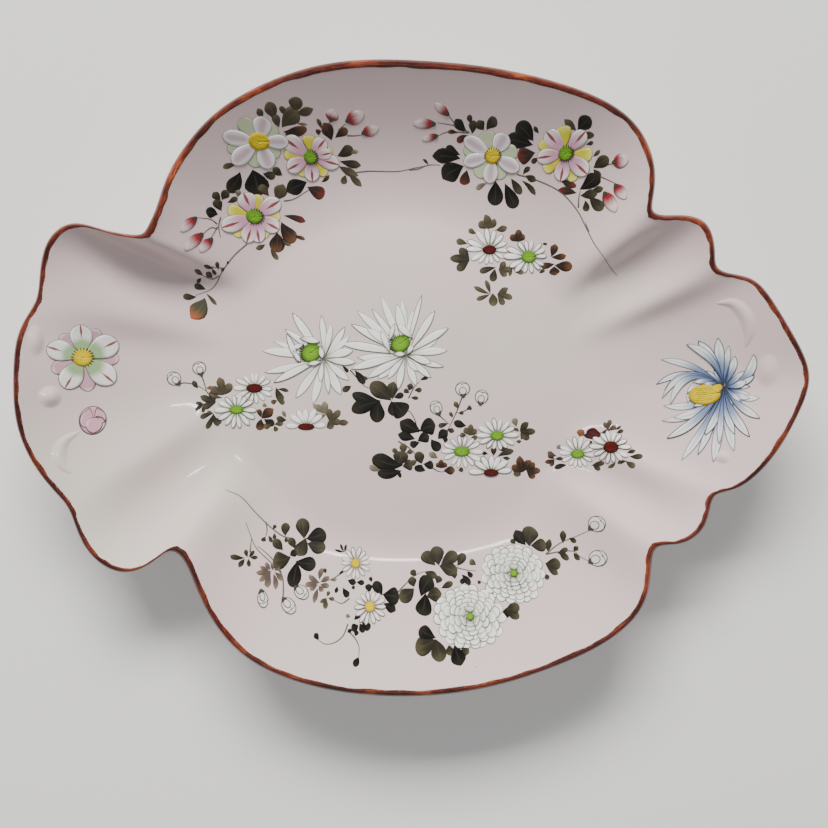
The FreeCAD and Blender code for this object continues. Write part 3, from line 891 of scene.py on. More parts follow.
# Leaves by spray and colour: x, y of the root, bearing, length, width and,
# where a leaf has more than one, its lobes. These rows are the output of a
# separate program, which converted places picked on the picture. Many of the
# tables below come from such a program too: see report.md.
LEAVES = {
    "north_west": {
        "black": [
            (-44.5, 86, -155, 8.5, 6), (-66.5, 90.5, -80, 9.5, 9),
            (-71.5, 89.5, -125, 8.5, 5), (-81.5, 72, 170, 4, 4)],
        "dark": [
            (-31.5, 96.5, 30, 6.5, 4), (-30.5, 94.5, -10, 8, 3),
            (-38.5, 86, 40, 4, 1.5), (-62.5, 89, -10, 4.5, 3),
            (-54.5, 88.5, 140, 4, 3), (-80, 78, 135, 3.5, 3),
            (-79.5, 78, 50, 4, 3), (-77.5, 77, 30, 4, 2),
            (-80, 73.5, 110, 4.5, 3.5), (-84.5, 49.5, 160, 3.5, 1.5),
            (-82.5, 49, 95, 3, 1.5), (-85, 49.5, -65, 2.5, 1.5),
            (-79, 51, 65, 1.5, 1), (-80, 50, -125, 2, 1),
            (-89.5, 46.5, 145, 3.5, 2), (-85.5, 45.5, 135, 3, 2.5),
            (-90.5, 45.5, -135, 2.5, 1.5), (-89, 40.5, 160, 4.5, 2.5),
            (-93, 37.5, 175, 5, 2.5)],
        "moss": [
            (-61, 110, 110, 3.5, 2.5), (-56.5, 110, 110, 5.5, 4.5),
            (-52.5, 112, 85, 2.5, 2.5), (-54.5, 107, 105, 4.5, 3),
            (-53.5, 107, 40, 8.5, 6), (-48.5, 113, 75, 5, 5),
            (-47.5, 112.5, 15, 6.5, 3), (-37.5, 107, 115, 3.5, 1.5),
            (-31, 92.5, -25, 8, 3), (-28, 89, -105, 3.5, 2.5),
            (-27, 90, -45, 7, 2.5), (-60.5, 80, 130, 5, 3.5),
            (-58, 78.5, 60, 6.5, 5), (-73, 92, -165, 4.5, 2),
            (-56.5, 62, -30, 4.5, 1.5), (-63, 60, -155, 4, 2),
            (-61, 58, -55, 5, 2), (-89, 39, -50, 6, 1.5)],
        "pale": [
            (-47.5, 109, -5, 4, 1), (-27, 97.5, 10, 4, 1.5),
            (-73.5, 79.5, 75, 2.5, 2)],
        "brown": [
            (-53, 105.5, 10, 8.5, 3.5), (-52.5, 104.5, -20, 4, 2),
            (-38.5, 104.5, 95, 2, 2), (-33.5, 102.5, 115, 6.5, 4.5),
            (-32, 103.5, 30, 5.5, 3), (-56, 69.5, -55, 9, 5.5),
            (-52, 63.5, -15, 5.5, 1.5), (-58, 65, -95, 7.5, 6)],
        "rust": [
            (-44.5, 84, -25, 7, 5), (-55, 72, -15, 8.5, 2.5)],
        "orange": [
            (-89.5, 37, -125, 9.5, 7)],
    },
    "north_east": {
        "black": [
            (23, 106, 135, 6, 3.5), (50.5, 102, 140, 8.5, 6),
            (50.5, 100.5, 165, 10, 5.5), (20.5, 97, 150, 6, 3),
            (20.5, 95.5, 175, 10.5, 5.5), (22, 92.5, -150, 9, 7.5),
            (35.5, 86.5, -90, 9, 6), (39.5, 85.5, -65, 10, 5),
            (68, 106, 45, 5.5, 5.5), (70.5, 82.5, 40, 8.5, 5.5)],
        "dark": [
            (24.5, 109, 110, 3, 2), (25, 105, 90, 4.5, 3),
            (30, 106.5, 125, 4, 3.5), (31, 106.5, 45, 5, 4),
            (53, 95.5, -145, 3, 2), (42, 87.5, -55, 7, 3),
            (46.5, 86.5, -45, 7.5, 2), (47, 89, 45, 3.5, 2),
            (48, 88.5, -25, 4.5, 2.5), (52.5, 105, 130, 3, 1.5),
            (68.5, 103.5, 0, 5.5, 2.5), (72, 100, 15, 2.5, 1.5),
            (75.5, 91, 35, 6, 4.5), (75.5, 90.5, -45, 4, 2),
            (71, 80, 10, 6, 3.5), (75, 81.5, 15, 4.5, 2.5),
            (74.5, 79.5, -45, 7, 4), (73, 78, -85, 4, 2.5),
            (7, 93, 135, 3, 1)],
        "moss": [
            (67.5, 105.5, 140, 6, 2.5), (75, 95.5, 45, 3, 1.5)],
        "pale": [
            (32, 85.5, -150, 4.5, 2)],
        "brown": [
            (19, 105.5, 175, 3.5, 1.5)],
        "rust": [
            (23.5, 104.5, -150, 4.5, 2.5), (51.5, 97.5, -165, 6.5, 6),
            (23.5, 91, -100, 5.5, 4), (62.5, 87, -25, 6.5, 2.5),
            (69.5, 81, 170, 7, 3)],
    },
    "well_north": {
        "dark": [
            (25, 53, 175, 7.5, 5.5, 3), (56, 60, -5, 2, 1),
            (55, 47.5, 35, 2.5, 1.5), (36.5, 50, -165, 6.5, 2.5),
            (36, 49.5, -100, 5, 3)],
        "moss": [
            (33, 66.5, 105, 5.5, 5, 3), (36, 66, 15, 4.5, 2.5),
            (28, 64.5, 150, 3.5, 2), (24, 60, 165, 4.5, 2.5),
            (37.5, 49, 10, 5, 4, 3), (43.5, 50.5, -105, 4, 1.5),
            (43.5, 49.5, -25, 4.5, 2), (34, 38.5, 155, 7, 3, 3),
            (35, 39, -85, 5, 3.5), (37, 38.5, -15, 6, 4, 3)],
        "brown": [
            (45.5, 61, 90, 4.5, 4.5, 3), (60, 54.5, 75, 5, 3),
            (60, 54.5, 5, 5.5, 2.5), (61.5, 51, -5, 6.5, 4),
            (61.5, 51.5, -170, 5, 2.5), (61.5, 50.5, -85, 3.5, 4)],
    },
    "well_west": {
        "black": [
            (-65, -16, -25, 4.5, 3)],
        "dark": [
            (-86, -9, 155, 6.5, 4.5, 3), (-91, -9.5, -145, 4, 2.5, 3),
            (-87, -13.5, -115, 6.5, 3.5, 3), (-87, -15.5, -35, 3.5, 2.5),
            (-93.5, -2.5, 120, 3.5, 2), (-59.5, -2, -65, 6, 3),
            (-59, -3, -10, 4.5, 1.5), (-55, -16.5, 165, 4, 2.5)],
        "moss": [
            (-83, -5.5, 100, 7, 5.5, 3), (-83, -6.5, 165, 5, 1.5),
            (-87, -13.5, 160, 2.5, 1.5), (-59, -8, -155, 2.5, 2),
            (-59, -8, -20, 3, 2), (-61, -18.5, -160, 4, 2.5),
            (-60.5, -18.5, 5, 3.5, 2), (-60.5, -19, -65, 2.5, 2),
            (-36.5, -17, 45, 6, 4.5, 3), (-33.5, -17, -5, 5, 2.5),
            (-37, -17, -70, 3.5, 3)],
        "pale": [
            (-63.5, -10.5, 155, 2, 1.5), (-55.5, -15.5, 115, 3, 1.5),
            (-37.5, -14, 145, 6.5, 4.5, 3)],
        "brown": [
            (-66, -16, 40, 6, 4), (-66, -16, -95, 4.5, 3.5),
            (-66, -15.5, 105, 3.5, 2)],
        "orange": [
            (-86, -2.5, 180, 3.5, 1.5)],
    },
    "well_south": {
        "black": [
            (-30.5, 7.5, -50, 3.5, 1.5), (-25, 5.5, -55, 6.5, 3),
            (-14, -8, 165, 11, 4.5), (-13.5, -8, -160, 12, 6),
            (-14, -8, -95, 8.5, 6), (-8, -6.5, 20, 4, 2.5),
            (-9, -8, -85, 6, 3.5), (-8.5, -8.5, -45, 7, 7.5),
            (3.5, 1, 20, 3.5, 1.5), (4, -21.5, 155, 9, 6),
            (3.5, -21.5, 20, 6.5, 7), (1.5, -25, 165, 7, 4),
            (2.5, -26, 25, 5, 4.5), (3.5, -26.5, -160, 4, 3),
            (11.5, -25, 40, 5, 4), (8.5, -25, -50, 5.5, 4),
            (13.5, -25, -25, 2, 2), (24, -19, 160, 5, 3),
            (33.5, -31.5, 175, 2.5, 1.5), (-3.5, -36.5, 165, 12.5, 6.5),
            (-4.5, -39, -175, 9.5, 4.5), (-6, -38.5, -75, 3.5, 1.5),
            (4.5, -36.5, -110, 3, 4.5), (5, -36, -5, 4, 3.5)],
        "dark": [
            (-22.5, 2.5, -20, 3, 1.5), (-26.5, -1.5, -150, 4, 2.5),
            (-9, -8, 140, 10.5, 6.5), (-8.5, -7.5, 85, 7, 4.5),
            (-1.5, -3.5, 75, 3, 2.5), (1, -3.5, 0, 3, 2),
            (-1, -4.5, 150, 2.5, 2), (-0.5, -6.5, -5, 3, 1.5),
            (16, -18, -165, 4, 2), (15.5, -20.5, -20, 3, 2),
            (20.5, -13.5, 10, 2, 1.5), (24, -11.5, 20, 2, 2),
            (47.5, -21.5, 0, 6, 4.5, 3), (38.5, -30, 15, 3.5, 2),
            (37.5, -33, 20, 7, 2.5), (40, -33, -10, 3, 1.5),
            (-6, -37, 80, 6, 6), (-4, -37.5, 15, 4, 4.5),
            (4.5, -36, 105, 5, 4), (20.5, -39, 10, 2, 2)],
        "moss": [
            (20, -11.5, 115, 3, 2), (18, -15.5, 120, 2.5, 1.5),
            (25.5, -23.5, 85, 4.5, 4, 3), (26, -24.5, -5, 2.5, 2),
            (24, -23, 180, 2.5, 2), (47.5, -22.5, -45, 3, 3),
            (46.5, -20, -115, 1.5, 2.5), (47, -27, 90, 1.5, 2),
            (-4, -31.5, 95, 4, 3), (-6, -30.5, 170, 2.5, 2),
            (-2.5, -31, 20, 2.5, 2), (1, -37, 105, 2.5, 3),
            (47, -38, -100, 3.5, 3)],
        "pale": [
            (46, -19.5, 110, 3.5, 2.5), (-14, -39, 155, 4.5, 2.5),
            (11.5, -33.5, 145, 4, 2.5)],
        "brown": [
            (36, -32.5, 90, 3.5, 2.5), (13, -38, 90, 3.5, 3.5, 3),
            (14, -39, 0, 4.5, 3.5), (49.5, -39.5, 105, 6.5, 5.5, 3),
            (50.5, -39, 0, 5.5, 4.5, 3)],
    },
    "well_east": {
        "black": [
            (68.5, -36.5, -165, 5, 2), (77, -26.5, 20, 2, 1)],
        "dark": [
            (88.5, -20.5, 30, 3, 1), (89.5, -22, 25, 3, 1.5),
            (79, -36.5, 15, 5, 2), (79.5, -36, -35, 3.5, 2),
            (93.5, -33.5, -160, 3.5, 1.5), (94.5, -31.5, 5, 5, 2),
            (93.5, -30, 15, 3.5, 1.5)],
        "moss": [
            (86, -20.5, 75, 4, 3, 3), (64, -32.5, 155, 4, 2),
            (89, -34.5, -140, 3.5, 1.5), (93, -33.5, -30, 4, 2.5)],
        "pale": [
            (65.5, -29.5, 130, 2, 2)],
        "brown": [
            (63, -34, -165, 4, 3, 3), (63, -34, 0, 3.5, 1.5)],
        "rust": [
            (82.5, -22, 20, 4, 1.5), (86, -21, 15, 3.5, 0.5)],
        "tan": [
            (74.5, -24.5, 95, 3.5, 3)],
        "wine": [
            (83.5, -22.5, 170, 6, 4.5), (82, -23.5, 175, 6, 2)],
    },
    "south_west": {
        "black": [
            (-47, -69.5, 15, 8, 6.5), (-54, -76.5, 25, 3, 3),
            (-51, -79, -100, 9.5, 5.5), (-51.5, -79, -10, 8, 5.5),
            (-33, -90, -105, 2.5, 1.5), (-30.5, -90.5, -55, 4, 2.5),
            (-32.5, -85, 40, 2, 1), (-28.5, -87.5, -15, 3.5, 2.5),
            (-24.5, -88.5, -5, 3, 2), (-25.5, -91.5, 120, 1.5, 1.5),
            (-18.5, -92.5, 100, 3, 3), (-18, -88.5, 110, 2, 1.5),
            (-13, -94, 120, 6, 4), (-13, -93.5, -5, 6.5, 6.5),
            (-12.5, -97, -30, 5.5, 3.5), (-30, -75.5, 165, 4, 1),
            (-30, -75.5, 115, 3.5, 1), (-30, -75.5, 75, 3, 1),
            (-25.5, -103.5, 45, 3, 2), (-23.5, -105.5, -155, 3, 3),
            (-23, -105, -65, 3.5, 2.5), (-22, -104.5, -35, 4, 3),
            (-26, -107.5, -160, 2, 1.5), (-25.5, -108, -35, 2, 2),
            (-40.5, -111, 125, 3, 2), (-23, -117.5, -120, 3.5, 2.5)],
        "dark": [
            (-64.5, -68, -120, 2, 2), (-63.5, -67.5, -65, 3, 1.5),
            (-61.5, -65, 60, 2, 1.5), (-61, -66.5, -85, 2.5, 1.5),
            (-56, -68, 85, 5, 3.5), (-56, -68.5, -80, 2, 1.5),
            (-57, -74, 130, 5.5, 3.5), (-52, -73.5, 120, 4.5, 3),
            (-48, -69.5, 100, 8, 5.5), (-47, -69, -115, 7.5, 5.5),
            (-46.5, -71.5, -20, 7.5, 5.5), (-53.5, -77, -170, 7, 7),
            (-73, -76, 165, 5.5, 2), (-73, -76.5, -125, 3.5, 2),
            (-72, -76, 105, 3, 1.5), (-71.5, -76.5, -80, 3, 1.5),
            (-71.5, -76, 50, 3, 1.5), (-71, -76, -5, 3, 1.5),
            (-38, -84.5, 105, 2, 1.5), (20, -81.5, 65, 5.5, 3.5),
            (19, -87, 100, 2.5, 2.5)],
        "moss": [
            (-37.5, -94.5, -150, 3, 1.5), (-37.5, -95, -95, 3.5, 2),
            (-37, -94.5, -10, 2.5, 1.5), (-37.5, -94, 70, 2, 1.5),
            (28.5, -81, 150, 3, 2.5)],
        "pale": [
            (-36, -87.5, 10, 2.5, 1.5), (-27, -102.5, 165, 2, 1.5)],
        "feather": [
            (-61.5, -82.5, -180, 6, 2), (-62, -83, -145, 5, 2),
            (-62, -83, -100, 5.5, 2.5), (-61, -83.5, -80, 6, 2),
            (-62.5, -82, 155, 4, 1.5), (-62, -82, 125, 3.5, 1.5),
            (-60.5, -82.5, 40, 3, 2), (-60.5, -83, -45, 4.5, 2),
            (-61, -82.5, 100, 3, 1.5), (-40.5, -88.5, 145, 5.5, 2),
            (-41, -87, 75, 4.5, 2), (-40.5, -88, 30, 4, 2),
            (-40.5, -89, -10, 3.5, 2), (-41.5, -89, -145, 3.5, 2),
            (-41.5, -90.5, -105, 5.5, 2), (-41.5, -88.5, -175, 5, 2),
            (-41, -89.5, -50, 2.5, 2)],
    },
    "south_east": {
        "black": [
            (50.5, -72, 125, 7, 4.5), (24.5, -83.5, -50, 3, 2),
            (22, -85, -50, 5, 2.5), (23.5, -86, -125, 3, 2),
            (4, -94.5, 60, 8.5, 6.5), (6, -93, -100, 8, 6.5),
            (39.5, -100, 0, 3, 3.5), (10.5, -110.5, 155, 7, 5),
            (18.5, -113, -70, 7, 6)],
        "dark": [
            (52, -72.5, 80, 7.5, 6.5), (52.5, -72, 5, 6, 5),
            (46, -71.5, 140, 2.5, 2), (10.5, -81.5, 135, 7, 5),
            (12, -81.5, 95, 7.5, 5.5), (12.5, -82, 40, 8.5, 5),
            (12, -81.5, -20, 7.5, 5), (29, -87.5, -50, 1.5, 1.5),
            (5.5, -84, -20, 5.5, 3), (2, -86, 130, 3, 2.5),
            (1, -90.5, 105, 4, 3.5), (1, -91, -145, 7, 5.5),
            (6.5, -94.5, 10, 6, 5.5), (11, -89, 65, 3, 3),
            (13, -91, 25, 5, 2.5), (58.5, -79.5, 5, 6, 4.5),
            (59, -80, -35, 5.5, 2.5), (58.5, -83.5, -55, 2.5, 2),
            (60, -74.5, 80, 5, 2.5), (66.5, -70.5, 90, 5, 2.5),
            (64, -75, 30, 4.5, 2), (64.5, -74.5, -35, 4.5, 2.5),
            (69, -68, -30, 3, 2), (71, -73.5, 45, 2.5, 2),
            (71, -74, -50, 3.5, 2), (40.5, -99, 20, 6, 4),
            (40.5, -99, -25, 6, 3.5), (10.5, -111, -160, 8.5, 6.5),
            (10.5, -111, -80, 7.5, 6), (16, -113, -85, 3.5, 3.5),
            (21.5, -113.5, -30, 3.5, 3.5)],
    },
}
# Five-petalled flowers: middle, heart's half sizes, then bearing, reach
# and half width of each petal and of each sepal between.
OPEN_FLOWERS = [
    ("north_west_open", (-63, 101.5), (4.2, 3.4),
     [(73, 9.8, 3.9), (174, 14.2, 3.2), (218, 14.4, 3.4), (-71, 11, 3.9),
      (1, 11.8, 2.9)],
     [(128, 10.5, 3.4), (36, 9.6, 3), (-35, 9.6, 3), (-108, 10.6, 3.4),
      (197, 13.4, 2.6)]),
    ("north_east_open", (34, 96.5), (3.2, 3.2),
     [(150, 14, 3.2), (58, 10, 3.9), (192, 12.5, 3), (-95, 11, 3.3),
      (-27, 12.6, 3.2)],
     [(112, 10.4, 3.8), (8, 10.4, 3.4), (-64, 10.4, 3.4),
      (232, 10.6, 3.6), (168, 12.6, 3)]),
    ("west_ear_open", (-139.5, 12), (3.8, 3.7),
     [(90, 14.2, 4.4), (158, 13.9, 4.5), (27, 15.4, 5.2),
      (241, 14.6, 4.6), (-44, 16.2, 5)],
     [(126, 12.6, 3.2), (61, 13.8, 3.2), (-4, 14, 3.2), (-83, 14.6, 3.4),
      (204, 12.6, 3.2)]),
]
STREAKED_FLOWERS = [
    ("north_west_streaked", (-42.5, 96), (2.9, 2.8),
     [(146, 12.6, 3.8), (48, 9.4, 3.3), (-14, 12.2, 3.2), (-88, 9.8, 3.4),
      (208, 11.2, 3.3), (12, 9, 2.4)],
     [(92, 8.6, 2.8), (13, 9.6, 2.4), (237, 9, 2.4), (-50, 9.6, 2.2),
      (176, 11, 2.2)]),
    ("north_west_streaked", (-67, 71.5), (3.6, 3.1),
     [(112, 10.4, 4), (32, 12.9, 3.8), (-28, 11.4, 3.6), (-82, 11, 3.4),
      (251, 11.6, 3.4), (200, 14.4, 3.6)],
     [(166, 11, 2.8), (74, 9.4, 2.4), (0, 10.8, 2.6), (-64, 10.2, 2.4),
      (225, 11.8, 2.4)]),
    ("north_east_streaked", (64, 97), (3, 3),
     [(135, 12.2, 3.6), (49, 11, 3.4), (188, 11.8, 3.2), (-97, 11, 3.3),
      (-42, 12.6, 3.6)],
     [(101, 10.8, 3.2), (-6, 10.8, 2.9), (219, 10.8, 2.8),
      (-70, 12, 2.4), (160, 12, 2.4)]),
]
# Daisies: middle, heart's half sizes, reach to the west, east, north and
# south, and the colour of the heart.
DAISIES = [
    ("well_north_daisy", (33.5, 57.5), (3, 2), (10.5, 8.5, 9.5, 6.5), "red"),
    ("well_north_daisy", (50.5, 54.5), (3.2, 2.6), (11, 8, 7.5, 7.5),
     "green"),
    ("well_west_daisy", (-69, -2.5), (3.6, 2), (10, 8.5, 6.8, 7), "red"),
    ("well_west_daisy", (-77, -12), (3.2, 1.8), (10, 9, 7, 8.5), "green"),
    ("well_west_half_daisy", (-46.5, -19.5), (3.7, 1.5), (9, 9, 8.5, 1.5),
     "red"),
    ("well_south_daisy", (37.5, -23.5), (3, 2.1), (9.5, 9.5, 8, 6.5),
     "green"),
    ("well_south_daisy", (22, -30.5), (3.6, 2.3), (9.5, 10, 7.2, 7.5),
     "green"),
    ("well_south_half_daisy", (35, -40), (3.3, 1.7), (10.5, 10, 8, 1.5),
     "red"),
    ("well_east_daisy", (73, -31.5), (3, 2), (8.5, 8, 8, 6), "green"),
    ("well_east_daisy", (87, -28), (3.2, 2.5), (9.2, 8.5, 7, 7), "red"),
    ("south_west_daisy", (-25, -80.5), (2.1, 2.1), (7, 7, 7.5, 7),
     "yellow"),
    ("south_west_daisy", (-18.5, -98.5), (2.2, 2.2), (7.5, 7.5, 6.8, 7.5),
     "yellow"),
]
# Rosettes: middle of the heart, middle and half sizes of the whole.
ROSETTES = [((45, -84), (44.5, -84), (14.6, 12.6)),
            ((25.5, -102), (25, -102), (16.2, 12.8))]
# Spider chrysanthemums: heart's middle, half sizes and bearing, the place
# where the petals meet, the petals' tips and the short inner petals.
SPIDERS = [
    ((-44, 13), (4.6, 3.9), 35, (-38.5, 10.5),
     [(-52, 30.5, 2), (-55.5, 23.5, 1.5), (-39.5, 29.5, 1.5),
      (-35, 26, 1.4), (-29, 24.5, 1.6), (-27, 20.5, 1.4), (-25.5, 14, 2),
      (-24.5, 9, 1.7), (-60.5, 18.5, 1.4), (-65.5, 14, 2),
      (-64.5, 4.5, 1.7), (-60.5, 0, 1.8), (-51, -7, 2), (-43.5, -9.5, 1.9),
      (-40, 0, 1.3), (-36.5, -5, 1.3), (-31, -5.5, 2.2), (-27.5, 1, 1.8)],
     [(-49.5, 8.5, -54.5, 21.5, 1.4), (-47, 17, -52, 15, 1.2),
      (-49, 19.5, -40, 18, 1.5), (-52, 14.5, -48.5, 9, 1.1),
      (-40, 16.5, -39, 10.5, 1.3), (-46, 8, -40, 9, 1)]),
    ((-5, 17), (4.5, 3.6), 35, (-2.5, 12),
     [(-24, 31.5, 1.9), (-17.5, 32.5, 1.5), (-13.5, 38, 1.7),
      (-6.5, 34.5, 2), (-4.5, 37, 1.6), (4.5, 38.5, 1.2),
      (10, 31.5, 1.8), (16, 24, 1.9), (11.5, 19.5, 1.9), (15.5, 14, 1.9),
      (14, 7, 1.4), (8.5, 8.5, 1.8), (8.5, 2, 1.6), (2, -1.5, 1.7),
      (2.5, 5, 1.3), (-6, -3, 1.7), (-15, 1.5, 1.8), (-10.5, 1.5, 1.5),
      (-19.5, 2, 1.8), (-26.5, 6, 1.9), (-24, 11, 1.9), (-31, 17, 2),
      (-26.5, 25.5, 1.9), (-20, 24, 1.8), (0.5, 32, 1.7)],
     [(-9.5, 13, -13.5, 23, 1.4), (-10, 18, -7.5, 26, 1.1),
      (0.5, 19.5, -6.5, 25.5, 1.6), (-8, 12.5, -3, 12.5, 1.1),
      (-2, 12.5, 0.5, 16.5, 1.1)]),
]
# Blue chrysanthemum: where the petals meet, then each petal's tip, half
# width and bend. Those on the west sweep round the heart.
SWIRL_HUB = (133, -0.5)
SWIRL_HEART = ((125.5, -4.3), (6.4, 4.4), 10)
SWIRL_PETALS = [
    (107.5, 10.5, 1.6, -2.5), (106, -0.5, 1.5, -5), (109.5, -3, 1.7, -6),
    (108.5, -6.5, 1.3, -7.5), (112, -9, 1.5, -8), (109, -9.5, 1.7, 3.5),
    (119, -8.5, 1.5, -6), (108.5, -16, 1.5, 4), (113, -14.5, 1.9, 3.5),
    (110.5, -23.5, 1.9, 2.5), (116, -32.5, 1.7, 1.5), (122.5, -30, 1.5, 1),
    (128.5, -32.5, 1.9, 0.5), (125.5, -21.5, 1.6, 1.5), (131, -25, 1.3, 0),
    (136.5, -27.5, 1.9, -0.5), (137, -20.5, 1.6, -1), (142.5, -21, 1.9, -1.5),
    (146.5, -13, 1.7, -1.5), (139.5, -6.5, 1.1, 0), (146.5, -4.5, 1.5, -2),
    (143, -5, 1.3, -1), (143.5, 14, 1.9, -4), (144.5, 5, 1.3, -1.5),
    (141.5, 2.5, 1.5, -1), (136.5, 13, 1.6, -1), (134, 17.5, 1.4, 0),
    (129.5, 20.5, 2, 0), (122, 19, 2, -1.5), (117.5, 17.5, 1.8, -3.5)]
SWIRL_INNER = [(130, 2.5, 121, 1, 1.2), (129, 0, 118.5, -4, 1.2),
               (131.5, -5, 121, -9.5, 1.3), (132.5, -2.5, 128.5, -6, 1.1),
               (131, 1, 125, 0.5, 1)]
# Buds: root x, y, bearing, length and width.
RED_BUDS = {
    "north_west": [(-33.5, 110, 70, 4.5, 5.5), (-27, 110, 20, 8, 5.5),
                   (-20.5, 105.5, 15, 7, 4.5), (-90, 70.5, -135, 8.5, 4),
                   (-88, 64, -135, 10, 4.5), (-84.5, 62, -130, 7.5, 4)],
    "north_east": [(15, 112.5, 145, 7, 3.5), (9.5, 109, 180, 9, 4),
                   (10.5, 104.5, -165, 6.5, 3), (83, 93, 5, 6, 6),
                   (84.5, 84, -55, 7.5, 4.5), (80.5, 81, -60, 9.5, 5)],
}
ROUND_BUDS = {
    "well_west": [(-92, 3.5, 105, 6, 6), (-101.5, -0.5, 130, 6.5, 6)],
    "well_south": [(22.5, -6, 95, 6.5, 6.5), (30, -9.5, 80, 6.5, 6),
                   (12, -14, 115, 6.5, 5.5)],
    "south_west": [(-66, -90, -75, 7.5, 4.5), (-56.5, -94, -50, 8, 5.5),
                   (-51.5, -89.5, -40, 7.5, 5.5)],
    "south_east": [(77.5, -63, 40, 7.5, 7), (77.5, -77.5, 30, 8, 7)],
}
# Painted stems and tendrils.
STEMS = {
    "north_west": [
        [(-54.5, 78), (-50, 79), (-45, 82), (-41.5, 84)],
        [(-27, 104.5), (-23.5, 104.5), (-20, 105)],
        [(-30.5, 106.5), (-27.5, 109)], [(-36, 107), (-34, 109.5)],
        [(-27, 89.5), (-19, 90.5), (-13.5, 90.5), (-5.5, 90.5), (2, 92),
         (8, 93)],
        [(-82, 68), (-84.5, 70), (-90, 70.5)],
        [(-82, 66), (-84.5, 66.5), (-88, 63.5)],
        [(-80.5, 71), (-81.5, 67), (-81, 62.5)],
        [(-82, 67), (-83, 65), (-84.5, 62.5)],
        [(-70.5, 60), (-76, 55), (-81, 48.5), (-84, 43.5), (-87, 40.5),
         (-93.5, 38)],
        [(-80, 49.5), (-83, 50), (-87.5, 50.5)],
        [(-82.5, 46.5), (-86, 45), (-90.5, 47)]],
    "north_east": [
        [(-1, 91), (3, 91.5), (7, 93), (12, 93)],
        [(44.5, 89), (53, 86.5), (63, 81.5), (70, 74), (74, 66.5),
         (77.5, 59.5), (83, 52), (88, 46.5)],
        [(24, 105.5), (19, 108), (10.5, 109.5)],
        [(19, 108), (17, 110), (15, 112.5)],
        [(23.5, 105.5), (15.5, 106), (11, 104.5)],
        [(70.5, 75), (70.5, 79.5), (71, 82)],
        [(80.5, 92), (83.5, 92.5)],
        [(76.5, 88.5), (81.5, 86), (84.5, 84.5)],
        [(75, 65), (73.5, 69)]],
    "south_west": [
        [(-52.5, -69.5), (-58, -67.5), (-64.5, -62), (-70, -56),
         (-75, -50), (-81.5, -46.5)],
        [(-64.5, -61.5), (-64, -65.5), (-65, -69)],
        [(-56.5, -94), (-56.5, -89), (-57.5, -84), (-62, -79),
         (-68, -73), (-70.5, -68), (-73, -61)],
        [(-57.5, -83.5), (-62, -77), (-68, -71.5)],
        [(-71, -74), (-70.5, -68)],
        [(-28, -105), (-30, -109.5), (-33.5, -112), (-37.5, -112.5),
         (-40.5, -111)],
        [(-27.5, -108), (-24.5, -111), (-23, -114), (-23, -117.5)],
        [(-30.5, -84), (-34.5, -86.5), (-37.5, -87.5)],
        [(-27.5, -95), (-31, -97), (-34.5, -95.5)]],
    "south_east": [
        [(59, -75.5), (62.5, -72.5), (66, -70), (72, -67), (78, -63.5)],
        [(59, -75.5), (65.5, -74), (71, -73.5), (73.5, -75.5),
         (78, -77.5)],
        [(19, -82), (23.5, -83), (28.5, -83.5)],
        [(-6.5, -93), (-2.5, -89), (1.5, -85.5), (5.5, -84)]],
}
# Stems too fine for a piece of their own go with the spray's leaves.
LEAF_STEMS = {
    "well_west": [
        [(-92, 3.5), (-91, 0.5), (-89.5, -4.5), (-86.5, -7.5)],
        [(-102, -0.5), (-99, 0), (-94.5, -1), (-91, -3), (-86.5, -6.5)]],
    "well_south": [
        [(22, -6.5), (20, -12), (17.5, -17.5), (15.5, -21.5)],
        [(12, -14.5), (16.5, -18.5)], [(25, -11.5), (22, -13), (19, -13.5)],
        [(-27, 5.5), (-23.5, 1.5), (-20, -2), (-14.5, -3)],
        [(-1.5, -7), (1, -2), (3.5, 0.5)],
        [(8.5, -37.5), (12, -39.5), (15.5, -39.5)],
        [(-6, -26), (0, -30), (4, -36)], [(3, -22), (0, -14), (-6, -9)]],
}
BOSSES = {
    "west_leaf_boss": (-156, 20, 3.6, 7.5, 1.1),
    "west_bud_boss": (-152, -4, 5, 5.4, 1.5),
    "east_bud_boss": (149, 7, 5, 8, 1.2),
    "east_small_boss": (132, -30, 3.8, 3.2, 1.0),
}
CURLS = {
    "west_stem_curl": [(-141, -19), (-147, -23), (-149, -28), (-148, -33),
                       (-144, -37)],
    "east_scroll_curl": [(127, 35), (134, 35), (139, 30), (141, 23),
                         (140, 16)],
}
HEARTS = {"yellow": 0, "green": 1, "red": 2}
INK_TONE = 3
CALYX, INK_LINE, PALE = 1, 2, 0
RED, PINK = -1, -2

# ---- leaves, buds and stems ---------------------------------------------
LEAF_GROWTH = 1.14
LOBE_SPREAD = 46.0  # degrees between neighbouring lobes
SIDE_LOBE_LOSS = 230.0  # a lobe turned this far would have no length
SLIM_LEAF = 2.6  # length over width past which a leaf ends in a point
BROAD_TIP, SLIM_TIP = 0.48, 0.85
for spray, groups in LEAVES.items():
    piece = enamel(spray + "_leaves")
    layer = 0
    for tone, leaves in groups.items():
        for x, y, bearing, length, width, *lobes in leaves:
            length *= LEAF_GROWTH
            width *= LEAF_GROWTH
            lobes = lobes[0] if lobes else 1
            layer += 1
            for k in range(lobes):
                turn = (k - (lobes - 1) / 2.0) * LOBE_SPREAD
                half = width / 2.0 if lobes == 1 else width * 0.3
                reach = length * (1.0 - abs(turn) / SIDE_LOBE_LOSS)
                slim = (length > SLIM_LEAF * width
                        or random.random() < 0.3)
                piece.ray((x, y), bearing + turn, 0.0, reach, half,
                          tone=LEAF_TONES.index(tone), dome=0.05,
                          level=0.04 + 0.004 * (layer % 12) + 0.012 * k,
                          belly=random.uniform(0.58, 0.76),
                          bend=random.uniform(-0.09, 0.09) * reach,
                          root=1.1, end=SLIM_TIP if slim else BROAD_TIP,
                          rows=11)
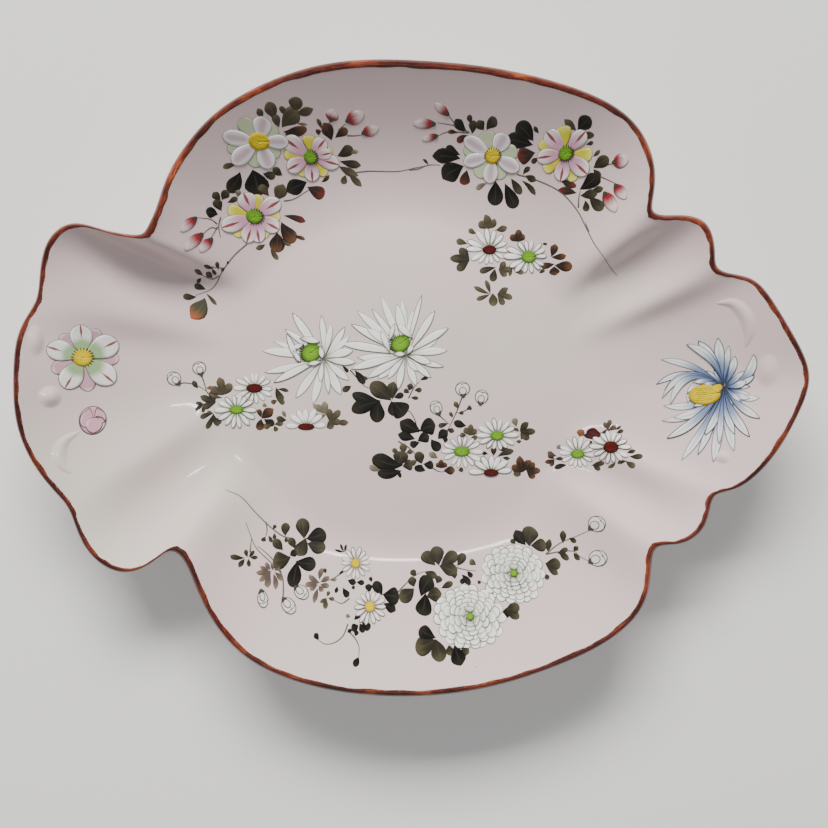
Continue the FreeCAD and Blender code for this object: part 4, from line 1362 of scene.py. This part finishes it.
for spray, routes in LEAF_STEMS.items():
    for route in routes:
        enamel(spray + "_leaves").stem(route, 0.28,
                                       LEAF_TONES.index("dark"))
for spray, routes in STEMS.items():
    for route in routes:
        enamel(spray + "_stems").stem(route, 0.34)


def calyx(piece, x, y, bearing, cup, spread, sepal):
    """A cup and two sepals; each is start, reach and half width."""
    piece.ray((x, y), bearing, *cup, tone=CALYX, level=0.4)
    for side in (-1, 1):
        piece.ray((x, y), bearing + spread * side, *sepal, tone=CALYX,
                  level=0.4)


def bud(piece, x, y, bearing, length, width, tone):
    piece.ray((x, y), bearing, 0.0, length, width / 2.0, tone=tone,
              level=0.08, dome=0.25, belly=0.45, root=0.5, end=0.55)
    calyx(piece, x, y, bearing, (-0.6, 1.3, 0.9), 38, (-0.3, 1.6, 0.4))


def round_bud(piece, x, y, bearing, length, width):
    """A round bud: outlined ball, a smaller ball on it, two crescents."""
    way = (math.cos(math.radians(bearing)), math.sin(math.radians(bearing)))
    middle = (x + way[0] * length / 2, y + way[1] * length / 2)
    low = (x + way[0] * length * 0.36, y + way[1] * length * 0.36)
    piece.disc(middle, length / 2, width / 2, PALE, 0.08, 0.22, bearing)
    for side in (-1, 1):
        piece.arc((middle[0] - way[1] * side * width * 0.12,
                   middle[1] + way[0] * side * width * 0.12),
                  width * 0.36, bearing - 30 * side, 150 * side, 0.17,
                  tone=INK_LINE, level=0.32)
    piece.disc(low, length * 0.27, width * 0.27, PALE, 0.3, 0.2, bearing)
    calyx(piece, x, y, bearing, (-0.7, 1.0, 0.9), 50, (-0.4, 1.7, 0.45))


for spray, buds in RED_BUDS.items():
    for x, y, bearing, length, width in buds:
        bud(enamel(spray + "_buds"), x, y, bearing, length, width, RED)
for spray, buds in ROUND_BUDS.items():
    for x, y, bearing, length, width in buds:
        round_bud(enamel(spray + "_buds"), x, y, bearing, length, width)

# The pink bud under the western ear's flower: three petals in outline.
piece = enamel("west_ear_buds")
piece.disc((-136.5, -15), 5.4, 6.2, PINK, 0.06, 0.2)
piece.blade((-137.5, -9.5), (-140, -18), 2.6, PINK, 0.2, 0.2)
piece.blade((-135, -9.5), (-132.6, -16.5), 2.3, PINK, 0.26, 0.2)
piece.blade((-136.8, -20.5), (-135.5, -13.6), 3.4, PINK, 0.34, 0.2,
            root=0.5)
piece.stem([(-135.4, -13.4), (-133, -14), (-131.6, -16)], 0.3, INK_LINE,
           0.56)


# ---- flowers ---------------------------------------------------------------
def whiskers(piece, middle, half_sizes, count, start, sweep, level):
    """Short dark strokes round part of a heart."""
    a, b = half_sizes
    for k in range(count):
        bearing = start + sweep * k / (count - 1.0)
        turn = math.radians(bearing)
        edge = a * b / math.hypot(b * math.cos(turn), a * math.sin(turn))
        piece.ray(middle, bearing, edge * 0.74, edge * 1.18, 0.16,
                  tone=INK_TONE, level=level, dome=0.02, rows=5, columns=3)


for name, middle, half_sizes, petals, sepals in OPEN_FLOWERS:
    piece = enamel(name + "_petals")
    for bearing, reach, half_width in sepals:
        piece.ray(middle, bearing, 1.5, reach, half_width, tone=1,
                  level=0.1, dome=0.08, belly=0.72, end=0.5)
    for k, (bearing, reach, half_width) in enumerate(petals):
        piece.ray(middle, bearing, 1.0, reach, half_width, tone=0,
                  level=0.2 + 0.05 * k, dome=0.1, belly=0.64, columns=9)
    hearts = enamel(name + "_hearts")
    hearts.disc(middle, *half_sizes, HEARTS["yellow"], 0.5, 0.3)
    if not name.startswith("north_west"):
        whiskers(hearts, middle, half_sizes, 15, -60, 250, 0.72)

for name, middle, half_sizes, petals, sepals in STREAKED_FLOWERS:
    piece = enamel(name + "_petals")
    for bearing, reach, half_width in sepals:
        piece.ray(middle, bearing, 2.0, reach, half_width, tone=1,
                  level=0.12, dome=0.12, belly=0.78, root=1.0, end=0.4)
    for k, (bearing, reach, half_width) in enumerate(petals):
        piece.ray(middle, bearing, 1.0, reach, half_width, tone=0,
                  level=0.2 + 0.04 * k, dome=0.1, belly=0.66, columns=9)
    hearts = enamel(name + "_hearts")
    hearts.disc(middle, *half_sizes, HEARTS["green"], 0.52, 0.3)
    whiskers(hearts, middle, half_sizes, 13, -120, 230, 0.82)


def quarter_reach(bearing, west, east, north, south):
    """Reach of an oval with its own half size to each side."""
    turn = math.radians(bearing)
    a = east if math.cos(turn) > 0 else west
    b = north if math.sin(turn) > 0 else south
    return 1.0 / math.hypot(math.cos(turn) / a, math.sin(turn) / b)


DAISY_PETALS = 14
PETAL_FULLNESS = 0.5904  # half width over a petal's share of the circle
NARROWEST, WIDEST, HALF_FLOWER_PETAL = 1.0, 1.75, 1.4
HALF_START, HALF_SWEEP, HALF_REACH = -1.0, 196.0, 8.0
for order, (name, middle, half_sizes, reaches, heart) in enumerate(DAISIES):
    piece = enamel(name + "_petals")
    half_flower = "half" in name
    pinkish = 1 if name.startswith("south_west") else 0
    level = 0.12 + 0.26 * (order % 2)
    for k in range(DAISY_PETALS):
        bearing = 360.0 * k / DAISY_PETALS + random.uniform(-4, 4)
        if half_flower and k % 2:
            continue
        if half_flower:
            bearing = HALF_START + HALF_SWEEP * (k + 0.5) / DAISY_PETALS
            bearing += random.uniform(-3, 3)
        reach = quarter_reach(bearing, *reaches)
        if half_flower:
            reach = max(reach, HALF_REACH)
        reach *= random.uniform(0.93, 1.03)
        half_width = PETAL_FULLNESS * math.pi * reach / DAISY_PETALS
        half_width = min(max(half_width, NARROWEST), WIDEST)
        if half_flower:
            half_width = HALF_FLOWER_PETAL
        start = 0.7 * quarter_reach(bearing, *[half_sizes[0]] * 2,
                                    *[half_sizes[1]] * 2)
        piece.ray(middle, bearing, start, reach, half_width, tone=pinkish,
                  level=level, dome=0.2, belly=0.7, root=0.7, rows=11)
    enamel(name + "_hearts").disc(middle, *half_sizes, HEARTS[heart],
                                  level + 0.16, 0.3)

# Rings of a rosette, outermost first: share of its size, petals.
ROSETTE_RINGS = [(1.0, 19), (0.86, 17), (0.72, 15), (0.58, 12), (0.44, 9),
                 (0.3, 6)]
for heart, middle, half_sizes in ROSETTES:
    piece = enamel("south_east_rosette_petals")
    for ring, (share, count) in enumerate(ROSETTE_RINGS):
        lean = np.array(heart) * (1 - share) + np.array(middle) * share
        for k in range(count):
            bearing = 360.0 * (k + 0.5 * (ring % 2)) / count
            bearing += random.uniform(-5, 5)
            reach = share * quarter_reach(bearing, *[half_sizes[0]] * 2,
                                          *[half_sizes[1]] * 2)
            reach *= random.uniform(0.96, 1.03)
            width = math.pi * share * sum(half_sizes) / 2 / count
            piece.ray(lean, bearing, reach * 0.42, reach, width * 1.06,
                      tone=2, level=0.05 + 0.13 * ring + 0.06 * (k % 2),
                      dome=0.06, belly=0.7, root=0.6, end=0.42, rows=11)
    enamel("south_east_rosette_hearts").disc(
        heart, 1.7, 1.5, HEARTS["green"], 0.86, 0.2)

for heart, half_sizes, bearing, hub, petals, inner in SPIDERS:
    piece = enamel("well_middle_spider_petals")
    for k, (x, y, half_width) in enumerate(petals):
        bend = random.uniform(-0.6, 0.6)
        piece.blade(hub, (x, y), half_width, 0, 0.06 + 0.1 * (k % 4),
                    0.08, bend, belly=0.66, root=1.25, end=0.75, rows=16)
    hearts = enamel("well_middle_spider_hearts")
    hearts.disc(heart, *half_sizes, HEARTS["green"], 0.46, 0.3, bearing)
    whiskers(hearts, heart, half_sizes, 15, 60, 170, 0.78)
    for k, (x0, y0, x1, y1, half_width) in enumerate(inner):
        piece.blade((x0, y0), (x1, y1), half_width, 0, 0.7 + 0.03 * k, 0.14,
                    end=0.8)

SWIRL_STROKES = 16
piece = enamel("east_ear_swirl_petals")
for k in range(SWIRL_STROKES):
    piece.ray(SWIRL_HUB, 360.0 / SWIRL_STROKES * k + random.uniform(-5, 5), 0.2,
              random.uniform(8.5, 11), 1.2, level=0.02, dome=0.05,
              belly=0.7, root=1.2, end=0.8, rows=11)
for k, (x, y, half_width, bend) in enumerate(SWIRL_PETALS):
    piece.blade(SWIRL_HUB, (x, y), half_width, 0, 0.06 + 0.1 * (k % 5),
                0.08, bend, belly=0.7, root=1.3, end=0.7, rows=18)
hearts = enamel("east_ear_swirl_hearts")
middle, half_sizes, bearing = SWIRL_HEART
hearts.disc(middle, *half_sizes, HEARTS["yellow"], 0.56, 0.3, bearing)
hearts.disc((129.5, -2), 3.4, 1.9, HEARTS["yellow"], 0.62, 0.2, 35)
for k in range(7):
    y = middle[1] - 2.4 + 0.8 * k
    hearts.stem([(middle[0] - 3.5 + (k % 3) * 0.5, y),
                 (middle[0], y + 0.2), (middle[0] + 3.2, y + 0.7)], 0.1,
                INK_TONE, 0.88)
for x0, y0, x1, y1, half_width in SWIRL_INNER:
    piece.blade((x0, y0), (x1, y1), half_width, 0, 0.5, 0.1, end=0.8)

# ---- hand the enamels over -----------------------------------------------
leaf_paint = leaf_enamel()
bud_paint = bud_enamel()
heart_paint = heart_enamel()
FINISHES = [
    ("west_ear_open_petals", ear_petal(), "enamel_white"),
    ("open_petals", open_petal(), "enamel_white"),
    ("streaked_petals", streaked_petal(), "enamel_pink"),
    ("swirl_petals", blue_petal(), "enamel_blue"),
    ("petals", white_petal(), "enamel_white"),
    ("open_hearts", heart_paint, "enamel_yellow"),
    ("swirl_hearts", heart_paint, "enamel_yellow"),
    ("south_west_daisy_hearts", heart_paint, "enamel_yellow"),
    ("half_daisy_hearts", heart_paint, "enamel_red"),
    ("hearts", heart_paint, "enamel_green"),
    ("north_west_buds", bud_paint, "enamel_bud"),
    ("north_east_buds", bud_paint, "enamel_bud"),
    ("west_ear_buds", bud_paint, "enamel_pink"),
    ("buds", bud_paint, "enamel_white"),
    ("leaves", leaf_paint, "enamel_leaf"),
    ("stems", ink_enamel(), "enamel_ink"),
]
for node, piece in pieces.items():
    paint, slot = next((paint, slot) for ending, paint, slot in FINISHES
                       if node.endswith(ending))
    piece.finish(node, paint, slot)


# ---- moulded relief in the ears -------------------------------------------
def mound(node, x, y, a, b, height):
    """A low smooth boss that fades into the glaze."""
    turns = np.linspace(0.0, 2 * math.pi, 40, endpoint=False)
    radii = np.linspace(1.0, 0.0, 12)[:-1]
    plan = np.array([[(x + a * r * math.cos(turn), y + b * r * math.sin(turn))
                      for turn in turns] for r in radii])
    lift = height * (1.0 - radii ** 2) ** 2 - 0.05
    points = drape(plan, np.repeat(lift[:, None], len(turns), 1))
    faces = ring_faces(len(radii), len(turns), True)
    start = (len(radii) - 1) * len(turns)
    faces.append(tuple(range(start, start + len(turns))))
    add_mesh(node + "_glazed", points.reshape(-1, 3), faces, glaze, [node])


def ridge(node, route, half_width=3.4, height=0.9):
    """A low smooth ridge that fades in, curls and fades out."""
    spine = smooth_route(route, 8)
    left = beside(spine)
    s = np.linspace(-1.0, 1.0, 11)
    swell = np.sin(np.linspace(0.0, math.pi, len(spine))) ** 0.7
    plan = spine[:, None] + left[:, None] * (
        s[None] * half_width * np.maximum(swell, 0.1)[:, None])[..., None]
    lift = height * swell[:, None] * (1.0 - s[None] ** 2) ** 2 - 0.05
    points = drape(plan, lift).reshape(-1, 3)
    columns = len(s)
    faces = [(i * columns + j, (i + 1) * columns + j,
              (i + 1) * columns + j + 1, i * columns + j + 1)
             for i in range(len(spine) - 1) for j in range(columns - 1)]
    add_mesh(node + "_glazed", points, faces, glaze, [node])


for node, (x, y, a, b, height) in BOSSES.items():
    mound(node, x, y, a, b, height)
for node, route in CURLS.items():
    ridge(node, route)

# ---- stage: floor, lights, camera -------------------------------------------
bpy.ops.mesh.primitive_plane_add(size=6.0, location=(0, 0, 0))
floor = bpy.context.object
floor.name = "studio_floor"
s = Shader("studio_floor")
# The floor's colour is painted lighter towards the south, away from the window
# lamp: a painted brightening that stands in for light the lamps don't give
# there.
northward = s.split(s.place())[1]
pale = s.ramp(s.noise(1.2, 2.0), (0.3, rgb(230, 230, 225)),
              (0.7, rgb(236, 236, 231)))
floor.data.materials.append(
    s.finish(s.mix(s.fade(northward, 0.2, -0.25), pale,
                   rgb(255, 255, 253)), 0.7))


def area_light(name, place, aim, size_x, size_y, power, color,
               reflected=True):
    data = bpy.data.lights.new(name, "AREA")
    data.shape = "RECTANGLE"
    data.size = size_x
    data.size_y = size_y
    data.energy = power
    data.color = color
    lamp = bpy.data.objects.new(name, data)
    lamp.location = place
    toward = Vector(aim) - Vector(place)
    lamp.rotation_euler = toward.to_track_quat("-Z", "Y").to_euler()
    lamp.visible_glossy = reflected
    bpy.context.scene.collection.objects.link(lamp)


WARM, COOL = (1.0, 0.985, 0.95), (0.97, 0.985, 1.0)
area_light("window", (-0.2, 1.4, 1.08), (0, 0, 0.02), 1.3, 0.5, 63.0,
           WARM, False)
area_light("overhead", (0.0, -0.4, 1.7), (0, 0, 0.02), 1.6, 1.2, 1.4, COOL,
           False)
area_light("well_strip", (-0.01, 0.15, 1.3), (0, 0, 0.02), 0.2, 0.025, 1.0,
           WARM)
world = bpy.data.worlds.new("soft_room")
world.use_nodes = True
sky = world.node_tree.nodes["Background"]
sky.inputs["Color"].default_value = (0.97, 0.98, 1.0, 1.0)
sky.inputs["Strength"].default_value = 0.285
bpy.context.scene.world = world

CAMERA_TILT = math.radians(-7.0)
camera_data = bpy.data.cameras.new("camera")
camera_data.lens = 50.0
camera_data.sensor_width = 36.0
camera = bpy.data.objects.new("camera", camera_data)
camera.location = (0.00093, 0.04769, 0.51343)
camera.rotation_euler = (CAMERA_TILT, 0.0, 0.0)
bpy.context.scene.collection.objects.link(camera)
bpy.context.scene.camera = camera
